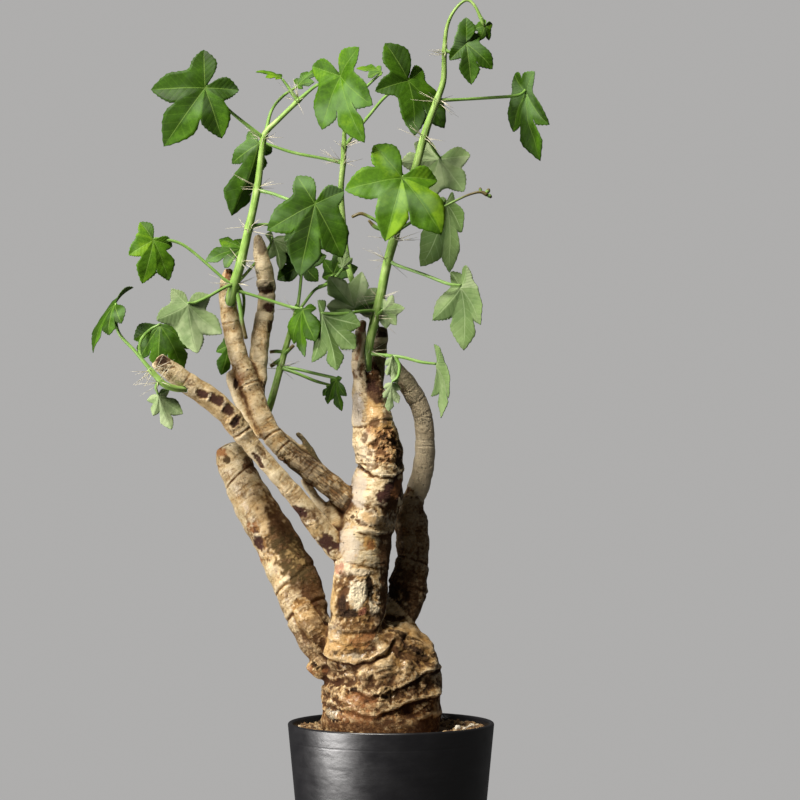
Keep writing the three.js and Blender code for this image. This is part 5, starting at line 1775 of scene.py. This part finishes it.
def stem_finish():
    """Bright green stems and stalks with fine lengthwise streaks"""
    f = Finish("green_stem")
    stem = f.carried("stem")
    kind, share = f.parts(f.carried("part"))[:2]
    streaks = f.noise(f.stretched(stem, (1.0, 1.0, 0.05)), 1.5, 3, 0.6)
    patches = f.noise(stem, 0.12, 3)
    colour = f.ramp(
        f.clear(streaks * 0.5 + patches * 0.5),
        (0.35, (0.15, 0.28, 0.045)), (0.5, (0.26, 0.42, 0.09)), (0.65, (0.46, 0.60, 0.22)))
    stalk = f.step(kind, 0.2, 0.5)
    colour = f.mixed(stalk * 0.45, colour, (0.10, 0.26, 0.035))
    dried = f.step(kind, 0.7, 0.9) * f.step(share, 0.55, 0.8)
    colour = f.mixed(dried * 0.9, colour, (0.12, 0.07, 0.025))
    roughness = f.clear(0.36 + streaks * 0.15)
    return f.skin(colour, roughness, streaks, 0.15, Specular_IOR_Level=0.4)


def leaf_finish():
    """Leaf blades: mid green above with pale veins, grey-green below with raised veins, with painted sheen
    patches above and painted light and shade on each half lobe
    """
    f = Finish("leaf_blade")
    place = f.place()
    sideways, phase, share = f.parts(f.carried("veins"))
    off = f.math("ABSOLUTE", sideways)
    upper, tone, lobe = f.parts(f.carried("look"))
    # Painted light and shade on each half lobe
    tone = tone + lobe * 0.45
    upper = f.step(upper, 0.4, 0.6)
    patches = f.noise(place, 0.10, 3, 0.6)
    fine = f.noise(place, 0.8, 4, 0.6)
    beat = f.math("FRACT", phase * SIDE_VEINS + 0.35)
    side_vein = f.step(f.math("ABSOLUTE", beat - 0.5), 0.05, 0.01) * f.step(off, 0.2, 0.8)
    rib = f.step(off, 0.5, 0.1) * f.step(share, 1.02, 0.7)
    net = f.step(f.cells(place, 0.9, "DISTANCE_TO_EDGE"), 0.07, 0.0)
    green = f.ramp(
        f.clear(patches * 0.6 + fine * 0.15 + tone * 0.5 - 0.12),
        (0.25, (0.016, 0.038, 0.003)), (0.5, (0.032, 0.085, 0.003)), (0.7, (0.070, 0.172, 0.006)),
        (0.9, (0.18, 0.33, 0.013)))
    # Painted sheen: pale patches on the upper faces
    painted_sheen = f.step(f.noise(place, 0.045, 2, 0.5), 0.50, 0.68)
    green = f.mixed(painted_sheen * 0.38, green, (0.19, 0.31, 0.13))
    green = f.mixed(side_vein * 0.2, green, (0.13, 0.25, 0.025))
    green = f.mixed(rib * 0.4, green, (0.19, 0.32, 0.05))
    pale = f.ramp(
        f.clear(patches * 0.3 + fine * 0.1 + tone * 0.6),
        (0.3, (0.075, 0.13, 0.03)), (0.55, (0.16, 0.235, 0.085)), (0.8, (0.31, 0.385, 0.20)))
    blotched = f.step(f.noise(place, 0.06, 3, 0.6), 0.48, 0.60)
    pale = f.mixed(blotched * 0.45, pale, (0.085, 0.155, 0.045))
    pale = f.mixed(f.clear(rib + side_vein * 0.5) * 0.5, pale, (0.30, 0.385, 0.19))
    colour = f.mixed(upper, pale, green)
    roughness = f.clear(0.48 + fine * 0.12 + (1 - upper) * 0.18)
    puff = f.step(f.math("ABSOLUTE", beat - 0.5), 0.0, 0.5)
    height = puff * 0.45 - rib * 0.6 + fine * 0.12 - net * 0.06
    return f.skin(colour, roughness, height, 0.13, Specular_IOR_Level=0.14)


def bristle_finish():
    """Straw-coloured bristles"""
    f = Finish("bristle_straw")
    fine = f.noise(f.place(), 0.6, 2)
    colour = f.ramp(fine, (0.35, (0.50, 0.44, 0.27)), (0.65, (0.80, 0.75, 0.58)))
    return f.skin(colour, 0.6)


def floor_finish():
    """The plain pale floor, which melts into the air of the room far from the pot"""
    f = Finish("pale_floor")
    place = f.place()
    reach = f.node("VectorMath", {"operation": "LENGTH"}, {0: place}, 1)
    fine = f.noise(place, 0.02, 3)
    straight_on = f.node("LightPath", {}, {})
    pale = f.mixed(fine * 0.1, FLOOR_COLOUR, (0.55, 0.55, 0.54))
    near = f.node("BsdfPrincipled", {}, {
        "Base Color": f.mixed(straight_on, FLOOR_REFLECTED, pale),
        "Roughness": 0.8,
    })
    strength = AIR_LIGHT + straight_on * (AIR_STRENGTH - AIR_LIGHT)
    far = f.node("Emission", {}, {"Color": AIR_COLOUR, "Strength": strength})
    both = f.node("MixShader", {}, {0: f.step(reach, FADE_START, FADE_END), 1: near, 2: far})
    f.node("OutputMaterial", {}, {"Surface": both})
    return f.material


def floor():
    """A wide round floor just under the pot"""
    bpy.ops.mesh.primitive_circle_add(
        vertices=FLOOR_SIDES, radius=FLOOR_RADIUS, fill_type="NGON", location=(0, 0, -FLOOR_DROP))
    ground = settled(bpy.context.object, "floor")
    ground.data.materials.append(floor_finish())


def soft_light(name, middle, azimuth, elevation, distance, size, power, colour):
    """A soft studio light aimed at a middle, its azimuth measured from the viewer to the left"""
    turn, climb = math.radians(azimuth), math.radians(elevation)
    way = Vector((-math.sin(turn) * math.cos(climb), -math.cos(turn) * math.cos(climb), math.sin(climb)))
    data = bpy.data.lights.new(name, "AREA")
    data.shape = "RECTANGLE"
    data.size, data.size_y = size
    data.energy = power
    data.color = colour
    light = bpy.data.objects.new(name, data)
    light.location = Vector(middle) + way * distance
    light.rotation_euler = way.to_track_quat("Z", "Y").to_euler()
    bpy.context.collection.objects.link(light)


def studio():
    """The camera at the photograph's angle, the pale room and its soft lights"""
    lens = bpy.data.cameras.new("viewer")
    lens.lens = LENS
    lens.sensor_width = SENSOR
    lens.clip_end = FARTHEST
    viewer = bpy.data.objects.new("viewer", lens)
    viewer.location = Vector(EYE) * MM
    viewer.rotation_euler = (math.pi / 2, 0, 0)
    bpy.context.collection.objects.link(viewer)
    bpy.context.scene.camera = viewer
    world = bpy.data.worlds.new("pale_room")
    world.use_nodes = True
    nodes, links = world.node_tree.nodes, world.node_tree.links
    air = nodes["Background"]
    air.inputs["Color"].default_value = (*AIR_COLOUR, 1)
    ray = nodes.new("ShaderNodeLightPath")
    strength = nodes.new("ShaderNodeMapRange")
    strength.inputs[3].default_value = AIR_LIGHT
    strength.inputs[4].default_value = AIR_STRENGTH
    links.new(ray.outputs[0], strength.inputs[0])
    links.new(strength.outputs[0], air.inputs["Strength"])
    bpy.context.scene.world = world
    soft_light(
        "key", middle=(-0.01, 0, 0.26), azimuth=40, elevation=55, distance=1.5,
        size=(0.34, 0.38), power=38, colour=(1.0, 0.955, 0.89))
    soft_light(
        "side", middle=(0, 0, 0.08), azimuth=64, elevation=3, distance=0.9,
        size=(0.5, 0.22), power=9, colour=(1.0, 0.97, 0.95))
    bpy.context.scene.view_settings.view_transform = "Standard"


def placed(piece, material, node):
    """Gives a piece its finish and its place in the frame"""
    piece.data.materials.clear()
    piece.data.materials.append(material)
    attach(piece, "root")
    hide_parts(node)


studio()
floor()
placed(potter_shell(), matte_glaze(), "pot")
placed(gravel(), gravel_finish(), "soil")
placed(woody_body(), bark_finish(), "caudex")
STEM = stem_finish()
LEAF = leaf_finish()
STRAW = bristle_finish()
ONE_BRISTLE = bristle_shape()
for number, (node, plan) in enumerate(SHOOTS.items()):
    draw = np.random.default_rng(number + LEAF_SEED)
    placed(green_rods(node + "_stems", plan), STEM, node)
    placed(foliage(node + "_leaves", plan, draw), LEAF, node)
    placed(bristles(node + "_bristles", plan, ONE_BRISTLE, draw), STRAW, node)

bpy.ops.object.select_all(action="DESELECT")
